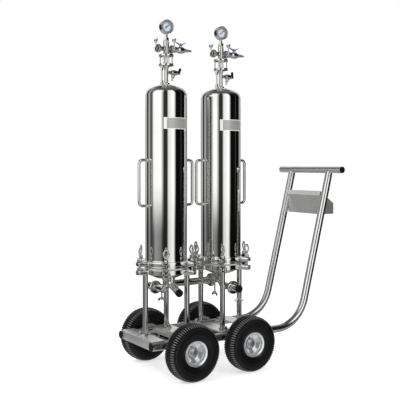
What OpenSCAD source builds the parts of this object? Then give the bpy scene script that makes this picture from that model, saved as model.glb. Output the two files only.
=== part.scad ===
// Twin housing filter cart: two cartridge housings on a four wheel trolley.
// All sizes are in millimetres. X runs along the cart towards the handle.
// Y runs across it and Z is up. The origin is on the floor, at the middle of
// the cart's outline.

/* [Wheels] */
// Outside diameter of the tyres
wheel_d = 260; // [240:5:280]
// Width of the tyres
tyre_w = 85; // [75:1:90]
// Distance between the front and rear axles
wheelbase = 320; // [310:5:360]
// Distance between the near and far wheels, centre to centre
track = 440; // [436:2:500]
// Outside diameter of the rim's flange
rim_d = 118; // [110:1:126]
// Diameter of the axle bars
axle_d = 20; // [16:1:22]

/* [Frame] */
// Outside diameter of the frame tubes
tube_d = 38; // [34:1:42]
// Wall of the frame tubes
tube_wall = 2.5; // [1.5:0.25:3]
// Distance between the two frame tubes, centre to centre
rail_gap = 300; // [292:2:304]
// Height of the rails' centre above the floor
rail_z = 160; // [156:1:180]
// Distance from the middle of the wheelbase to the rails' front ends
rail_front = 333; // [325:1:360]
// Distance from the middle of the wheelbase to the start of the bend
rail_rear = 382; // [370:1:400]
// Radius of the bend on the tube's centre line
bend_r = 180; // [140:5:220]
// How far the uprights lean away from the housings, in degrees
lean = 14.75; // [8:0.25:20]
// Height of the handlebar's centre
handle_z = 949; // [900:1:1000]
// Outside diameter of the handlebar
bar_d = 34; // [30:1:38]
// Length of the handlebar without its end caps
bar_len = 490; // [440:2:520]
// Thickness of the folded sheet of the deck plates
deck_t = 4; // [3:0.5:5]

/* [Tray] */
// Depth of the tray at its floor
tray_depth = 92; // [70:1:110]
// Height of the tall wall of the tray
tray_h = 122; // [100:1:140]
// Height of the low wall of the tray
tray_low = 56; // [40:1:70]
// Height of the tray's floor above ground
tray_z = 716; // [690:1:740]
// Thickness of the tray's sheet
tray_t = 2; // [1.5:0.25:3]

/* [Housings] */
// Distance between the axes of the two housings
housing_gap = 313; // [308:1:330]
// Outside diameter of the shells
shell_d = 198; // [192:1:202]
// Wall of the shells
shell_t = 2; // [1.5:0.25:3]
// Height of the joint plane between base and bell
joint_z = 486; // [480:1:500]
// Height of the bell's straight part and its ring
bell_h = 814; // [780:2:840]
// Outside diameter of the base and bell rings
ring_d = 210; // [208:1:214]
// Height of the bell's ring
ring_h = 31; // [28:1:34]
// Thickness of the ring gasket
gasket_t = 6; // [4:0.5:6]
// Radius of the circle that the swing bolts stand on
bolt_circle = 141; // [138:0.5:144]
// Diameter of the swing bolts' shanks
bolt_d = 12; // [10:1:12]
// Width of the lugs
lug_w = 34; // [30:1:38]
// Radius of the circle that the legs stand on
leg_circle = 112; // [110:0.5:113]
// Diameter of the legs
leg_d = 25.4; // [22:0.1:26]
// Height of the blank plates on the shells
plate_h = 54; // [40:1:60]

/* [Pipes] */
// Outside diameter of the pipes under the housings
pipe_d = 33.7; // [30:0.1:34]
// Outside diameter of the pipe clamps
clamp_d = 64; // [62:1:68]
// Height of the cross pipe's centre
cross_z = 409; // [406:1:410]
// Diameter of the stem on top of each housing
stem_d = 19; // [16:0.5:21]
// Outside diameter of the sight glass flanges
sight_d = 72; // [68:1:76]
// Outside diameter of the pressure gauges
gauge_d = 67; // [60:1:70]
// Radius of the hose nozzle's plain tip
nozzle_r = 5; // [4:0.25:6]

/* [Hidden] */
$fn = 64;
steel = [0.78, 0.79, 0.80];
dull = [0.62, 0.63, 0.65];
black = [0.06, 0.06, 0.06];
rubber = [0.09, 0.09, 0.09];
blue = [0.10, 0.18, 0.62];
white = [0.95, 0.95, 0.95];
clear = [0.80, 0.88, 0.90];
sheet = [0.70, 0.70, 0.70];

// running clearance of the hinges and bearings, on the radius
run = 0.05;
wheel_r = wheel_d / 2;
axle_r = axle_d / 2;
half_base = wheelbase / 2;
half_track = track / 2;
bead_r = rim_d / 2 - 8.2;
hub_out = 8;
hub_in = 34;

tube_r = tube_d / 2;
rail_y = rail_gap / 2;
cap_t = 4;
bend_end_x = rail_rear + bend_r * cos(lean);
bend_end_z = rail_z + bend_r * (1 - sin(lean));
upright_len = (handle_z - bend_end_z) / cos(lean);
handle_x = bend_end_x + upright_len * sin(lean);
bar_r = bar_d / 2;
tray_x = handle_x - (handle_z - tray_z - 60) * tan(lean) - 1;
// moves everything so that the outline's middle is at zero
mid = -(max(handle_x + bar_r, tray_x + tray_depth) - rail_front - cap_t) / 2;

deck_z = rail_z + tube_r;
foot_t = 5;
foot_z = deck_z + deck_t;
leg_foot_z = foot_z + foot_t;
deck_in = rail_y - tube_r - 0.2;

tray_half = rail_y - tube_r;

// the housings sit a little ahead of the middle of the wheelbase
pair_x = -13.5;
shell_r = shell_d / 2;
ring_r = ring_d / 2;
base_h = 22;
base_top = joint_z - 1;
base_low = base_top - base_h;
pivot_z = base_top - base_h / 2;
bell_low = joint_z + gasket_t;
ring_top = bell_low + ring_h;
knee_r = 34;
crown_r = 165;
knee_z = bell_low + bell_h;
crown_dz = sqrt((crown_r - knee_r) * (crown_r - knee_r)
    - (shell_r - knee_r) * (shell_r - knee_r));
dome_top = knee_z - crown_dz + crown_r;
dish_r = 92;
dish_h = 29;
dish_big = (dish_r * dish_r + dish_h * dish_h) / (2 * dish_h);
dish_low = base_low - dish_h;
plate_z = knee_z - 138;
cart_at = (shell_r + 1) / 2;
cart_r = (shell_r - shell_t - 27) / 2;
cart_h = knee_z - joint_z - 58;
lug_h = 18;
lug_low = ring_top - lug_h;
lug_end = bolt_circle + 15;
slot_w = bolt_d + 1;
pin_r = 5;
nut_gap = 1.9;
nut_low = ring_top + nut_gap;

// how far each diamond nut is turned on its bolt, in degrees
turns_a = [8, -24, 15, -12, 6, 20];
turns_b = [-10, 18, -6, 8, 62, -18];

legs_a = [180, 60, 300];
legs_b = [0, 120, 240];
// which way each leg's bolt stands from the leg
toward_a = [180, 270, 90];
toward_b = [0, 180, 270];
foot_step = 26;

pipe_r = pipe_d / 2;
ferrule_r = 25.2;
elbow_r = 36;
outlet_z = cross_z + 7 - elbow_r;
elbow_top = outlet_z + elbow_r;
outlet_clamp = 106;
outlet_end = 148;
side_port = 46;
inlet_turn = 68;
inlet_len = 50;
port_low = dish_low - 6;
inlet_top = dish_low + 3;
stub_len = 60;
clamp_r = clamp_d / 2;

stem_r = stem_d / 2;
boss_top = dome_top + 6;
sight_low = boss_top + 81;
flange_t = 9;
glass_h = 36;
sight_mid = sight_low + flange_t;
sight_high = sight_mid + glass_h;
fit_low = sight_high + flange_t;
arm_z = fit_low + 27;
fit_top = fit_low + 68;
gauge_z = fit_top + 63;
gauge_r = gauge_d / 2;
sample_z = sight_low - 30;
bleed_x = -24;
bleed_low = dome_top + 6 + run;
valve_x = 80;

// where a line up the middle of the uprights stands at height z
function upright_x(z) = bend_end_x + (z - bend_end_z) * tan(lean);

// where the tray's screws enter the uprights
tray_screws = [
    [tray_x + tray_t + 7, tray_z + 42],
    [tray_x + tray_t + 11, tray_z + 92]
];

// where the legs stand along the cart
front_leg = pair_x - housing_gap / 2 - leg_circle;
second_leg = pair_x - housing_gap / 2 + leg_circle / 2;
third_leg = pair_x + housing_gap / 2 - leg_circle / 2;
rear_leg = pair_x + housing_gap / 2 + leg_circle;

// front edge, rear edge and apron depth of each deck plate
decks = [
    [-rail_front, front_leg + 20, deck_z - 143],
    [second_leg - 41, second_leg + 41, 28],
    [third_leg - 40, third_leg + 40, 0],
    [rear_leg - 40, rear_leg + 40, 0]
];

module at_a() {
    translate([mid + pair_x - housing_gap / 2, 0, 0])
        children();
}

module at_b() {
    translate([mid + pair_x + housing_gap / 2, 0, 0])
        children();
}

// both housings, the rear one turned half round
module at_both() {
    at_a()
        children();
    at_b()
        rotate([0, 0, 180])
            children();
}

// both housings, facing the same way
module at_each() {
    at_a()
        children();
    at_b()
        children();
}

// a rod along X from x0 to x1
module rod_x(r, x0, x1) {
    translate([x0, 0, 0])
        rotate([0, 90, 0])
            cylinder(r = r, h = x1 - x0);
}

// a rod along Y from y0 to y1
module rod_y(r, y0, y1) {
    translate([0, y0, 0])
        rotate([-90, 0, 0])
            cylinder(r = r, h = y1 - y0);
}

// a six sided bar, f across its flats
module hex_bar(f, h) {
    cylinder(d = f / cos(30), h = h, $fn = 6);
}

// Chassis

// the run of one frame tube, from its front end to the handlebar; the
// welded seam between bend and upright has radius seam and half length half
module tube_run(r, seam, half) {
    translate([0, 0, rail_z])
        rod_x(r, -rail_front, rail_rear);
    translate([rail_rear, 0, rail_z + bend_r])
        rotate([90, 0, 0])
            rotate([0, 0, -90])
                rotate_extrude(angle = 89.9 - lean)
                    translate([bend_r, 0])
                        circle(r = r);
    translate([bend_end_x, 0, bend_end_z])
        rotate([0, lean, 0]) {
            translate([0, 0, 0.3])
                cylinder(r = r, h = upright_len - 0.3);
            translate([0, 0, -half])
                cylinder(r = seam, h = 2 * half);
        }
}

// the welded block that carries an axle under a rail
module axle_block() {
    translate([-24, -tube_r + 2, wheel_r - axle_r - 8])
        cube([48, 2 * tube_r - 4, rail_z - wheel_r + axle_r + 8]);
}

// one bent frame tube with its two axle blocks; side is -1 near, 1 far
module frame_tube(side) {
    translate([mid, side * rail_y, 0])
        difference() {
            union() {
                difference() {
                    tube_run(tube_r, tube_r + 0.3, 3);
                    tube_run(tube_r - tube_wall, tube_r - tube_wall - 0.3, 4);
                }
                difference() {
                    for (x = [-half_base, half_base])
                        translate([x, 0, 0])
                            axle_block();
                    translate([0, 0, rail_z])
                        rod_x(tube_r - 0.5, -rail_front, rail_rear);
                }
            }
            translate([handle_x, 0, handle_z])
                rod_y(bar_r, -tube_d, tube_d);
            for (x = [-half_base, half_base])
                translate([x, 0, wheel_r])
                    rod_y(axle_r + run, -tube_d, tube_d);
            for (p = tray_screws)
                translate([p[0], 0, p[1]])
                    if (side < 0)
                        rod_y(3.2, 2, tube_d);
                    else
                        rod_y(3.2, -tube_d, -2);
        }
}

module frame_near() {
    color(steel)
        frame_tube(-1);
}

module frame_far() {
    color(steel)
        frame_tube(1);
}

module handlebar() {
    color(steel)
        translate([mid + handle_x, 0, handle_z])
            difference() {
                rod_y(bar_r, -bar_len / 2, bar_len / 2);
                rod_y(bar_r - tube_wall, -bar_len, bar_len);
            }
}

module tube_caps() {
    color(black) {
        for (side = [-1, 1]) {
            translate([mid - rail_front, side * rail_y, rail_z]) {
                rod_x(tube_r, -cap_t, 0);
                rod_x(tube_r - tube_wall - 0.1, -1, 12);
            }
            translate([mid + handle_x, 0, handle_z])
                mirror([0, side < 0 ? 1 : 0, 0]) {
                    rod_y(bar_r, bar_len / 2, bar_len / 2 + 2);
                    rod_y(bar_r - tube_wall - 0.1, bar_len / 2 - 14, bar_len / 2 + 1);
                    translate([0, bar_len / 2 + 2, 0])
                        rotate([-90, 0, 0])
                            cylinder(r1 = bar_r, r2 = bar_r - 4, h = 3);
                }
        }
    }
}

module deck_plate(d) {
    translate([mid + d[0], -rail_y, deck_z])
        cube([d[1] - d[0], 2 * rail_y, deck_t]);
    if (d[2] > 0)
        translate([mid + d[0], -deck_in, deck_z - d[2]])
            cube([3, 2 * deck_in, d[2] + 1]);
}

// where the legs' bolts stand, seen from each housing's axis
module leg_bolts() {
    for (i = [0:2]) {
        at_a()
            rotate([0, 0, legs_a[i]])
                translate([leg_circle, 0, 0])
                    rotate([0, 0, toward_a[i] - legs_a[i]])
                        translate([foot_step, 0, 0])
                            children();
        at_b()
            rotate([0, 0, legs_b[i]])
                translate([leg_circle, 0, 0])
                    rotate([0, 0, toward_b[i] - legs_b[i]])
                        translate([foot_step, 0, 0])
                            children();
    }
}

module deck_plates() {
    color(sheet)
        difference() {
            for (d = decks)
                deck_plate(d);
            leg_bolts()
                translate([0, 0, deck_z - 1])
                    cylinder(r = 5.3, h = deck_t + 2);
        }
}

module tray() {
    color(dull)
        translate([mid + tray_x, 0, tray_z])
            difference() {
                union() {
                    translate([0, tray_half, 0])
                        rotate([90, 0, 0])
                            linear_extrude(2 * tray_half)
                                polygon([[0, 0], [tray_depth, 0], [tray_depth, tray_low], [0, tray_h]]);
                    translate([-2, -tray_half, tray_h - 23])
                        cube([3, 2 * tray_half, 23]);
                }
                translate([0, tray_half - tray_t, 0])
                    rotate([90, 0, 0])
                        linear_extrude(2 * tray_half - 2 * tray_t)
                            polygon([[tray_t, tray_t], [tray_depth - tray_t, tray_t],
                                [tray_depth - tray_t, tray_h + 20], [tray_t, tray_h + 20]]);
                for (p = tray_screws)
                    translate([p[0] - tray_x, 0, p[1] - tray_z])
                        rod_y(3.2, -tray_half - 1, tray_half + 1);
            }
}

// tray screws and the bolts that hold the feet on the deck
module frame_bolts() {
    color(steel) {
        for (p = tray_screws)
            for (side = [-1, 1])
                translate([mid + p[0], 0, p[1]])
                    mirror([0, side < 0 ? 1 : 0, 0]) {
                        rod_y(3, tray_half - tray_t - 1, tray_half + 12);
                        rod_y(6, tray_half - tray_t - 4, tray_half - tray_t);
                    }
        leg_bolts() {
            translate([0, 0, deck_z - 1])
                cylinder(r = 5, h = deck_t + foot_t + 3);
            translate([0, 0, deck_z - 6])
                hex_bar(16, 6);
            translate([0, 0, leg_foot_z])
                hex_bar(17, 8);
            translate([0, 0, leg_foot_z + 7])
                sphere(r = 7.5);
        }
    }
}

module axles() {
    color(dull)
        for (x = [-half_base, half_base])
            translate([mid + x, 0, wheel_r]) {
                rod_y(axle_r, -half_track - hub_out - 13, half_track + hub_out + 13);
                for (side = [-1, 1])
                    mirror([0, side < 0 ? 1 : 0, 0])
                        difference() {
                            rod_y(axle_r + 5, rail_y + tube_r - 2, half_track - hub_in - 0.4);
                            rod_y(axle_r - 1, 0, half_track);
                        }
            }
}

module axle_nuts() {
    color(steel)
        for (x = [-half_base, half_base])
            for (side = [-1, 1])
                translate([mid + x, 0, wheel_r])
                    mirror([0, side < 0 ? 1 : 0, 0]) {
                        difference() {
                            rod_y(16, half_track + hub_out + 0.4, half_track + hub_out + 2.4);
                            rod_y(axle_r, half_track, half_track + 20);
                        }
                        translate([0, half_track + hub_out + 2.4, 0])
                            rotate([-90, 0, 0])
                                difference() {
                                    hex_bar(28, 9);
                                    translate([0, 0, -1])
                                        cylinder(r = axle_r, h = 12);
                                }
                    }
}

// Wheels: the profiles are drawn with radius across and width up

module rim_profile() {
    translate([bead_r - 2.4, -35])
        square([2.4, 70]);
    for (s = [-1, 1])
        mirror([0, s < 0 ? 1 : 0]) {
            translate([bead_r - 2.4, 33.6])
                square([rim_d / 2 - bead_r, 2.4]);
            translate([rim_d / 2 - 2, 34.4])
                circle(r = 2);
        }
    polygon([[15, -2], [15, 1.5], [33, 1.5], [bead_r - 1.2, 20], [bead_r - 1.2, 15.5], [34.5, -2]]);
    translate([axle_r + run, -hub_in])
        square([17 - axle_r - run, hub_in + hub_out]);
    translate([axle_r + run, hub_out - 3])
        square([19 - axle_r - run, 3]);
}

module tyre_profile() {
    difference() {
        union() {
            translate([bead_r + 0.05, -31])
                square([30, 62]);
            translate([bead_r + 34, -tyre_w / 2 + 34])
                circle(r = 34);
            translate([bead_r + 34, tyre_w / 2 - 34])
                circle(r = 34);
            translate([bead_r + 34, -tyre_w / 2 + 14])
                square([wheel_r - bead_r - 34 - 3, tyre_w - 28]);
            translate([bead_r + 34, -tyre_w / 2 + 20])
                square([wheel_r - bead_r - 34, tyre_w - 40]);
        }
        translate([wheel_r, -60])
            square([20, 120]);
        translate([bead_r - 20, -60])
            square([20.05, 120]);
        for (w = [-14, 0, 14])
            translate([wheel_r - 4, w - 1.5])
                square([6, 3]);
        translate([bead_r + 32, -tyre_w / 2 + 32])
            circle(r = 25);
        translate([bead_r + 32, tyre_w / 2 - 32])
            circle(r = 25);
        translate([bead_r + 8, -tyre_w / 2 + 20])
            square([wheel_r - bead_r - 19, tyre_w - 40]);
        translate([bead_r - 1, -16])
            square([20, 32]);
    }
}

// places a wheel part; fx is -1 front, 1 rear and fy is -1 near, 1 far
module at_wheel(fx, fy) {
    translate([mid + fx * half_base, fy * half_track, wheel_r])
        rotate([fy < 0 ? 90 : -90, 0, 0])
            children();
}

module rim(fx, fy) {
    color(dull)
        at_wheel(fx, fy) {
            rotate_extrude()
                rim_profile();
            translate([bead_r - 7, 0, 12])
                cylinder(r = 3, h = 14);
        }
}

module tyre(fx, fy) {
    color(rubber)
        at_wheel(fx, fy)
            rotate_extrude()
                tyre_profile();
}

// Housings

// six lugs on a ring; each has a slot for a swing bolt
module lugs(z0, h) {
    for (a = [0:60:300])
        rotate([0, 0, a])
            translate([ring_r - 6, -lug_w / 2, z0])
                cube([lug_end - ring_r + 6, lug_w, h]);
}

module lug_slots(z0, h, back) {
    for (a = [0:60:300])
        rotate([0, 0, a]) {
            translate([bolt_circle - back, -slot_w / 2, z0 - 1])
                cube([60, slot_w, h + 2]);
        }
}

module dish() {
    intersection() {
        translate([0, 0, dish_low + dish_big])
            sphere(r = dish_big);
        translate([0, 0, dish_low - 1])
            cylinder(r = dish_r, h = dish_h + 2);
    }
}

// base of one housing: ring with forked lugs, shallow dish and two ports
module base_shape() {
    difference() {
        union() {
            translate([0, 0, base_low])
                cylinder(r = ring_r, h = base_h);
            translate([0, 0, base_low])
                cylinder(r = ring_r - 4, h = joint_z - base_low);
            dish();
            lugs(base_low, base_h);
            translate([0, 0, port_low + 0.02])
                cylinder(r = pipe_r + 3, h = 20);
            translate([0, -side_port, inlet_top + 0.02])
                cylinder(r = pipe_r + 2.5, h = 20);
        }
        lug_slots(base_low, base_h, bolt_d + 2);
        for (a = [0:60:300])
            rotate([0, 0, a])
                translate([bolt_circle, 0, pivot_z])
                    rod_y(pin_r + run, -lug_w, lug_w);
    }
}

module base_1() {
    color(steel)
        at_a()
            base_shape();
}

module base_2() {
    color(steel)
        at_b()
            rotate([0, 0, 180])
                base_shape();
}

module leg_shape(turn) {
    difference() {
        union() {
            translate([0, 0, foot_z])
                cylinder(r = leg_d / 2, h = base_low - foot_z);
            translate([0, 0, foot_z])
                cylinder(r = 17, h = foot_t);
            rotate([0, 0, turn]) {
                translate([0, -12, foot_z])
                    cube([foot_step, 24, foot_t]);
                translate([foot_step, 0, foot_z])
                    cylinder(r = 12, h = foot_t);
            }
        }
        translate([0, 0, leg_foot_z])
            cylinder(r = leg_d / 2 - 2, h = base_low - leg_foot_z - 4);
        rotate([0, 0, turn])
            translate([foot_step, 0, foot_z - 1])
                cylinder(r = 5.3, h = foot_t + 2);
    }
}

module legs() {
    color(steel)
        for (i = [0:2]) {
            at_a()
                rotate([0, 0, legs_a[i]])
                    translate([leg_circle, 0, 0])
                        leg_shape(toward_a[i] - legs_a[i]);
            at_b()
                rotate([0, 0, legs_b[i]])
                    translate([leg_circle, 0, 0])
                        leg_shape(toward_b[i] - legs_b[i]);
        }
}

module gaskets() {
    color(white)
        at_each()
            translate([0, 0, joint_z])
                difference() {
                    cylinder(r = ring_r - 2.5, h = gasket_t);
                    translate([0, 0, -1])
                        cylinder(r = shell_r - shell_t, h = gasket_t + 2);
                }
}

// the domed shell outline, grown inwards by g
module bell_outline(g) {
    translate([0, bell_low])
        square([shell_r - g, bell_h]);
    translate([0, knee_z - 1])
        square([shell_r - knee_r, knee_r * 0.6]);
    intersection() {
        translate([shell_r - knee_r, knee_z])
            circle(r = knee_r - g);
        translate([shell_r - knee_r, bell_low])
            square([shell_r, 2 * bell_h]);
    }
    intersection() {
        translate([0, knee_z - crown_dz])
            circle(r = crown_r - g);
        polygon([[0, knee_z - crown_dz], [(shell_r - knee_r) * 1.6,
            knee_z - crown_dz + crown_dz * 1.6], [0, knee_z + 200]]);
    }
}

// a welded grip: two arms and a bar with round corners
module grip() {
    grip_x = shell_r + 46;
    grip_r = 7;
    corner = 18;
    z0 = 783;
    z1 = 997;
    for (z = [z0, z1])
        translate([0, 0, z])
            rod_x(grip_r, shell_r - 1, grip_x - corner);
    translate([grip_x, 0, z0 + corner])
        cylinder(r = grip_r, h = z1 - z0 - 2 * corner);
    translate([grip_x - corner, 0, z0 + corner])
        rotate([90, 0, 0])
            rotate([0, 0, -90])
                rotate_extrude(angle = 90)
                    translate([corner, 0])
                        circle(r = grip_r);
    translate([grip_x - corner, 0, z1 - corner])
        rotate([90, 0, 0])
            rotate_extrude(angle = 90)
                translate([corner, 0])
                    circle(r = grip_r);
}

// one bell: shell, head, slotted ring, two grips and the top bosses
module bell_shape() {
    difference() {
        union() {
            rotate_extrude()
                intersection() {
                    bell_outline(0);
                    square([shell_r + 1, 3000]);
                }
            translate([0, 0, bell_low])
                cylinder(r = ring_r - 3.5, h = ring_h);
            translate([0, 0, bell_low + 2])
                cylinder(r = ring_r, h = 6);
            translate([0, 0, bell_low + 10])
                cylinder(r = ring_r, h = ring_h - 10);
            lugs(lug_low, lug_h);
            for (a = [0, 180])
                rotate([0, 0, a])
                    grip();
            translate([0, 0, dome_top - 6])
                cylinder(r = stem_r + 8, h = 12);
            translate([bleed_x, 0, dome_top - 6])
                cylinder(r = 7, h = bleed_low - dome_top + 6);
        }
        rotate_extrude()
            intersection() {
                bell_outline(shell_t);
                square([shell_r + 1, 3000]);
            }
        translate([0, 0, bell_low - 5])
            cylinder(r = shell_r - shell_t, h = 40);
        for (a = [0:60:300])
            rotate([0, 0, a]) {
                translate([bolt_circle, -slot_w / 2, lug_low - 1])
                    cube([60, slot_w, lug_h + 2]);
                translate([bolt_circle, 0, lug_low - 1])
                    cylinder(r = slot_w / 2, h = lug_h + 2);
                translate([lug_end, -lug_w, ring_top - 4])
                    rotate([0, -45, 0])
                        cube([10, 2 * lug_w, 10]);
            }
    }
}

module bell_1() {
    color(steel)
        at_a()
            bell_shape();
}

module bell_2() {
    color(steel)
        at_b()
            bell_shape();
}

module nameplates() {
    color(dull)
        at_each()
            translate([0, 0, plate_z - plate_h / 2])
                rotate([0, 0, 272 - 38.5])
                    rotate_extrude(angle = 77)
                        translate([shell_r, 0])
                            square([1.2, plate_h]);
}

module pivot_pins() {
    color(steel)
        at_each()
            for (a = [0:60:300])
                rotate([0, 0, a])
                    translate([bolt_circle, 0, pivot_z]) {
                        rod_y(pin_r, -lug_w / 2 - 1, lug_w / 2 + 1);
                        rod_y(pin_r + 2, -lug_w / 2 - 3, -lug_w / 2);
                        rod_y(pin_r + 2, lug_w / 2, lug_w / 2 + 3);
                    }
}

module cartridges() {
    color(white)
        at_each()
            for (a = [30, 150, 270])
                rotate([0, 0, a])
                    translate([cart_at, 0, joint_z])
                        difference() {
                            cylinder(r = cart_r, h = cart_h);
                            translate([0, 0, -1])
                                cylinder(r = cart_r * 0.4, h = cart_h - 12);
                        }
}

// one swing bolt: eyebolt, washer and diamond eye nut
module swing_bolt(turn) {
    nut_r = bolt_d / 2 + 4;
    eye_z = nut_low + 42;
    difference() {
        union() {
            translate([0, 0, pivot_z])
                rod_y(bolt_d, -slot_w / 2 + 1, slot_w / 2 - 1);
            translate([0, 0, pivot_z])
                cylinder(r = bolt_d / 2, h = nut_low + 11.5 - pivot_z);
        }
        translate([0, 0, pivot_z])
            rod_y(pin_r + run, -20, 20);
    }
    difference() {
        translate([0, 0, nut_low])
            cylinder(r = bolt_d - 1, h = 2.5);
        translate([0, 0, nut_low - 1])
            cylinder(r = bolt_d / 2 + run, h = 5);
    }
    translate([0, 0, nut_low + 2.55])
        rotate([0, 0, turn])
            difference() {
                union() {
                    cylinder(r = nut_r, h = 11);
                    translate([0, 4.5, 0])
                        rotate([90, 0, 0])
                            linear_extrude(9)
                                difference() {
                                    polygon([[-5, 10], [5, 10], [18, 39], [1, 70], [-1, 70],
                                        [-18, 39]]);
                                    polygon([[0, 17], [10.5, 38], [0, 58], [-10.5, 38]]);
                                }
                }
                translate([0, 0, -1])
                    cylinder(r = bolt_d / 2 + run, h = 10.6);
            }
}

module bolt_a(i) {
    color(steel)
        at_a()
            rotate([0, 0, 60 * i])
                translate([bolt_circle, 0, 0])
                    swing_bolt(turns_a[i] + 90);
}

module bolt_b(i) {
    color(steel)
        at_b()
            rotate([0, 0, 60 * i])
                translate([bolt_circle, 0, 0])
                    swing_bolt(turns_b[i] + 90);
}

// Pipes under the housings

// the centre outlet bend, its stub for the cross pipe and its end piece
module outlet_shape(with_ferrule) {
    difference() {
        union() {
            translate([0, 0, elbow_top])
                cylinder(r = pipe_r, h = port_low - elbow_top);
            translate([0, elbow_r, elbow_top])
                rotate([90, 0, 90])
                    rotate([0, 0, 180])
                        rotate_extrude(angle = 90)
                            translate([elbow_r, 0])
                                circle(r = pipe_r);
            translate([0, 0, outlet_z])
                rod_y(pipe_r, elbow_r, outlet_clamp);
            translate([0, 0, outlet_z])
                rod_y(ferrule_r, outlet_clamp - 3, outlet_clamp);
            translate([0, 0, cross_z])
                rod_x(pipe_r - 0.6, 0, stub_len);
            if (with_ferrule)
                translate([0, 0, cross_z])
                    rod_x(ferrule_r, stub_len - 3, stub_len);
        }
        translate([0, 0, outlet_z])
            rod_y(pipe_r - 2, elbow_r + 10, outlet_clamp + 1);
        translate([0, 0, cross_z])
            rod_x(pipe_r - 2, 12, stub_len + 1);
    }
    translate([0, 0, outlet_z])
        difference() {
            union() {
                rod_y(pipe_r, outlet_clamp, outlet_end);
                rod_y(ferrule_r, outlet_clamp, outlet_clamp + 3);
            }
            rod_y(pipe_r - 2, outlet_clamp - 1, outlet_end + 1);
        }
}

module outlet_bends() {
    color(steel) {
        at_a()
            outlet_shape(false);
        at_b()
            rotate([0, 0, 180])
                outlet_shape(true);
    }
}

module cross_pipe() {
    color(steel)
        at_a()
            translate([0, 0, cross_z])
                difference() {
                    union() {
                        rod_x(pipe_r, stub_len, housing_gap - stub_len);
                        rod_x(ferrule_r, housing_gap - stub_len - 3, housing_gap - stub_len);
                    }
                    rod_x(pipe_r - 2, 0, housing_gap);
                }
}

// the inlet bend: down from the dish, then sloping outwards
module inlet_shape() {
    difference() {
        translate([0, -side_port, inlet_top]) {
            translate([0, -elbow_r, 0])
                rotate([90, 0, 90])
                    rotate([0, 0, -inlet_turn]) {
                        rotate_extrude(angle = inlet_turn)
                            translate([elbow_r, 0])
                                circle(r = pipe_r);
                        translate([elbow_r, 0, 0])
                            rotate([90, 0, 0])
                                cylinder(r = pipe_r, h = inlet_len);
                    }
        }
        translate([0, -side_port, inlet_top])
            inlet_tip()
                translate([0, 0, inlet_len - 25])
                    cylinder(r = pipe_r - 2, h = 40);
    }
}

// the end of the inlet's bend, its axis pointing out of the pipe
module inlet_tip() {
    translate([0, -elbow_r + elbow_r * cos(inlet_turn), -elbow_r * sin(inlet_turn)])
        rotate([180 - inlet_turn, 0, 0])
            children();
}

module inlet_bends() {
    color(steel)
        at_both()
            inlet_shape();
}

module pipe_caps() {
    color(black)
        at_both() {
            translate([0, -side_port, inlet_top])
                inlet_tip() {
                    translate([0, 0, inlet_len])
                        cylinder(r = pipe_r + 1, h = 14);
                    translate([0, 0, inlet_len - 14])
                        cylinder(r = pipe_r - 2.2, h = 15);
                }
            translate([0, 0, outlet_z]) {
                rod_y(pipe_r + 1, outlet_end, outlet_end + 15);
                rod_y(pipe_r - 2.2, outlet_end - 14, outlet_end + 1);
            }
        }
}

// half of a pipe clamp round the Y axis, the upper one; r is its radius
module clamp_half(r, fr, pr, w, hinge) {
    hinge_r = min(5, 0.19 * r);
    difference() {
        union() {
            rod_y(r, -w / 2, w / 2);
            translate([r - 4, -w * 0.4, 0])
                cube([15, w * 0.8, 8]);
        }
        rod_y(fr + 0.2, -3.3, 3.3);
        rod_y(pr + 1, -w, w);
        translate([-2 * r, -w, -4 * r])
            cube([6 * r, 2 * w, 4 * r + 0.6]);
        translate([r + 4, 0, -10])
            cylinder(r = 4.3 * r / 32 + 0.4, h = 30);
        if (hinge)
            translate([-r - 1, 0, 0])
                rod_y(hinge_r + 0.3, -w, w);
    }
    if (!hinge)
        translate([-r - 1, 0, 0])
            difference() {
                rod_y(hinge_r, -w / 2, w / 2);
                rod_y(hinge_r * 0.4, -w, w);
            }
}

module wing_nut(bore, body, span, h) {
    difference() {
        union() {
            cylinder(r1 = body + 1.5, r2 = body, h = h);
            for (a = [0, 180])
                rotate([90, 0, a])
                    translate([0, 0, -2])
                        linear_extrude(4)
                            union() {
                                polygon([[0, 1], [span / 2 - 7, h - 3], [span / 2 - 9, h + 9], [0, h]]);
                                translate([span / 2 - 7, h + 3])
                                    circle(r = 7);
                            }
        }
        translate([0, 0, -5])
            cylinder(r = bore, h = h + 40);
    }
}

// a whole pipe clamp: two halves, its bolt hanging down and the wing nut,
// whose wings are turned from the clamp's bolt side
module pipe_clamp(turn) {
    w = 16;
    clamp_half(clamp_r, ferrule_r, pipe_r, w, true);
    mirror([0, 0, 1])
        clamp_half(clamp_r, ferrule_r, pipe_r, w, false);
    translate([clamp_r + 4, 0, 0]) {
        translate([0, 0, -66])
            cylinder(r = 4, h = 66 + 9);
        translate([0, 0, 8])
            cylinder(r = 7, h = 4);
        translate([0, 0, -52])
            rotate([180, 0, turn])
                wing_nut(4 + run, 7.5, 50, 11);
    }
}

module pipe_clamps() {
    color(steel) {
        at_a()
            translate([0, outlet_clamp, outlet_z])
                pipe_clamp(75);
        at_b()
            translate([0, -outlet_clamp, outlet_z])
                pipe_clamp(-20);
        at_b()
            translate([-stub_len, 0, cross_z])
                rotate([0, 0, -90])
                    pipe_clamp(0);
    }
}

// Fittings on top of the housings

module stems() {
    color(steel)
        at_each() {
            translate([0, 0, boss_top])
                difference() {
                    union() {
                        cylinder(r = stem_r, h = sight_low - boss_top - 14);
                        translate([0, 0, sight_low - boss_top - 15])
                            cylinder(r1 = stem_r, r2 = stem_r + 6, h = 15);
                    }
                    cylinder(r = stem_r - 3, h = 200);
                }
        }
}

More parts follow.
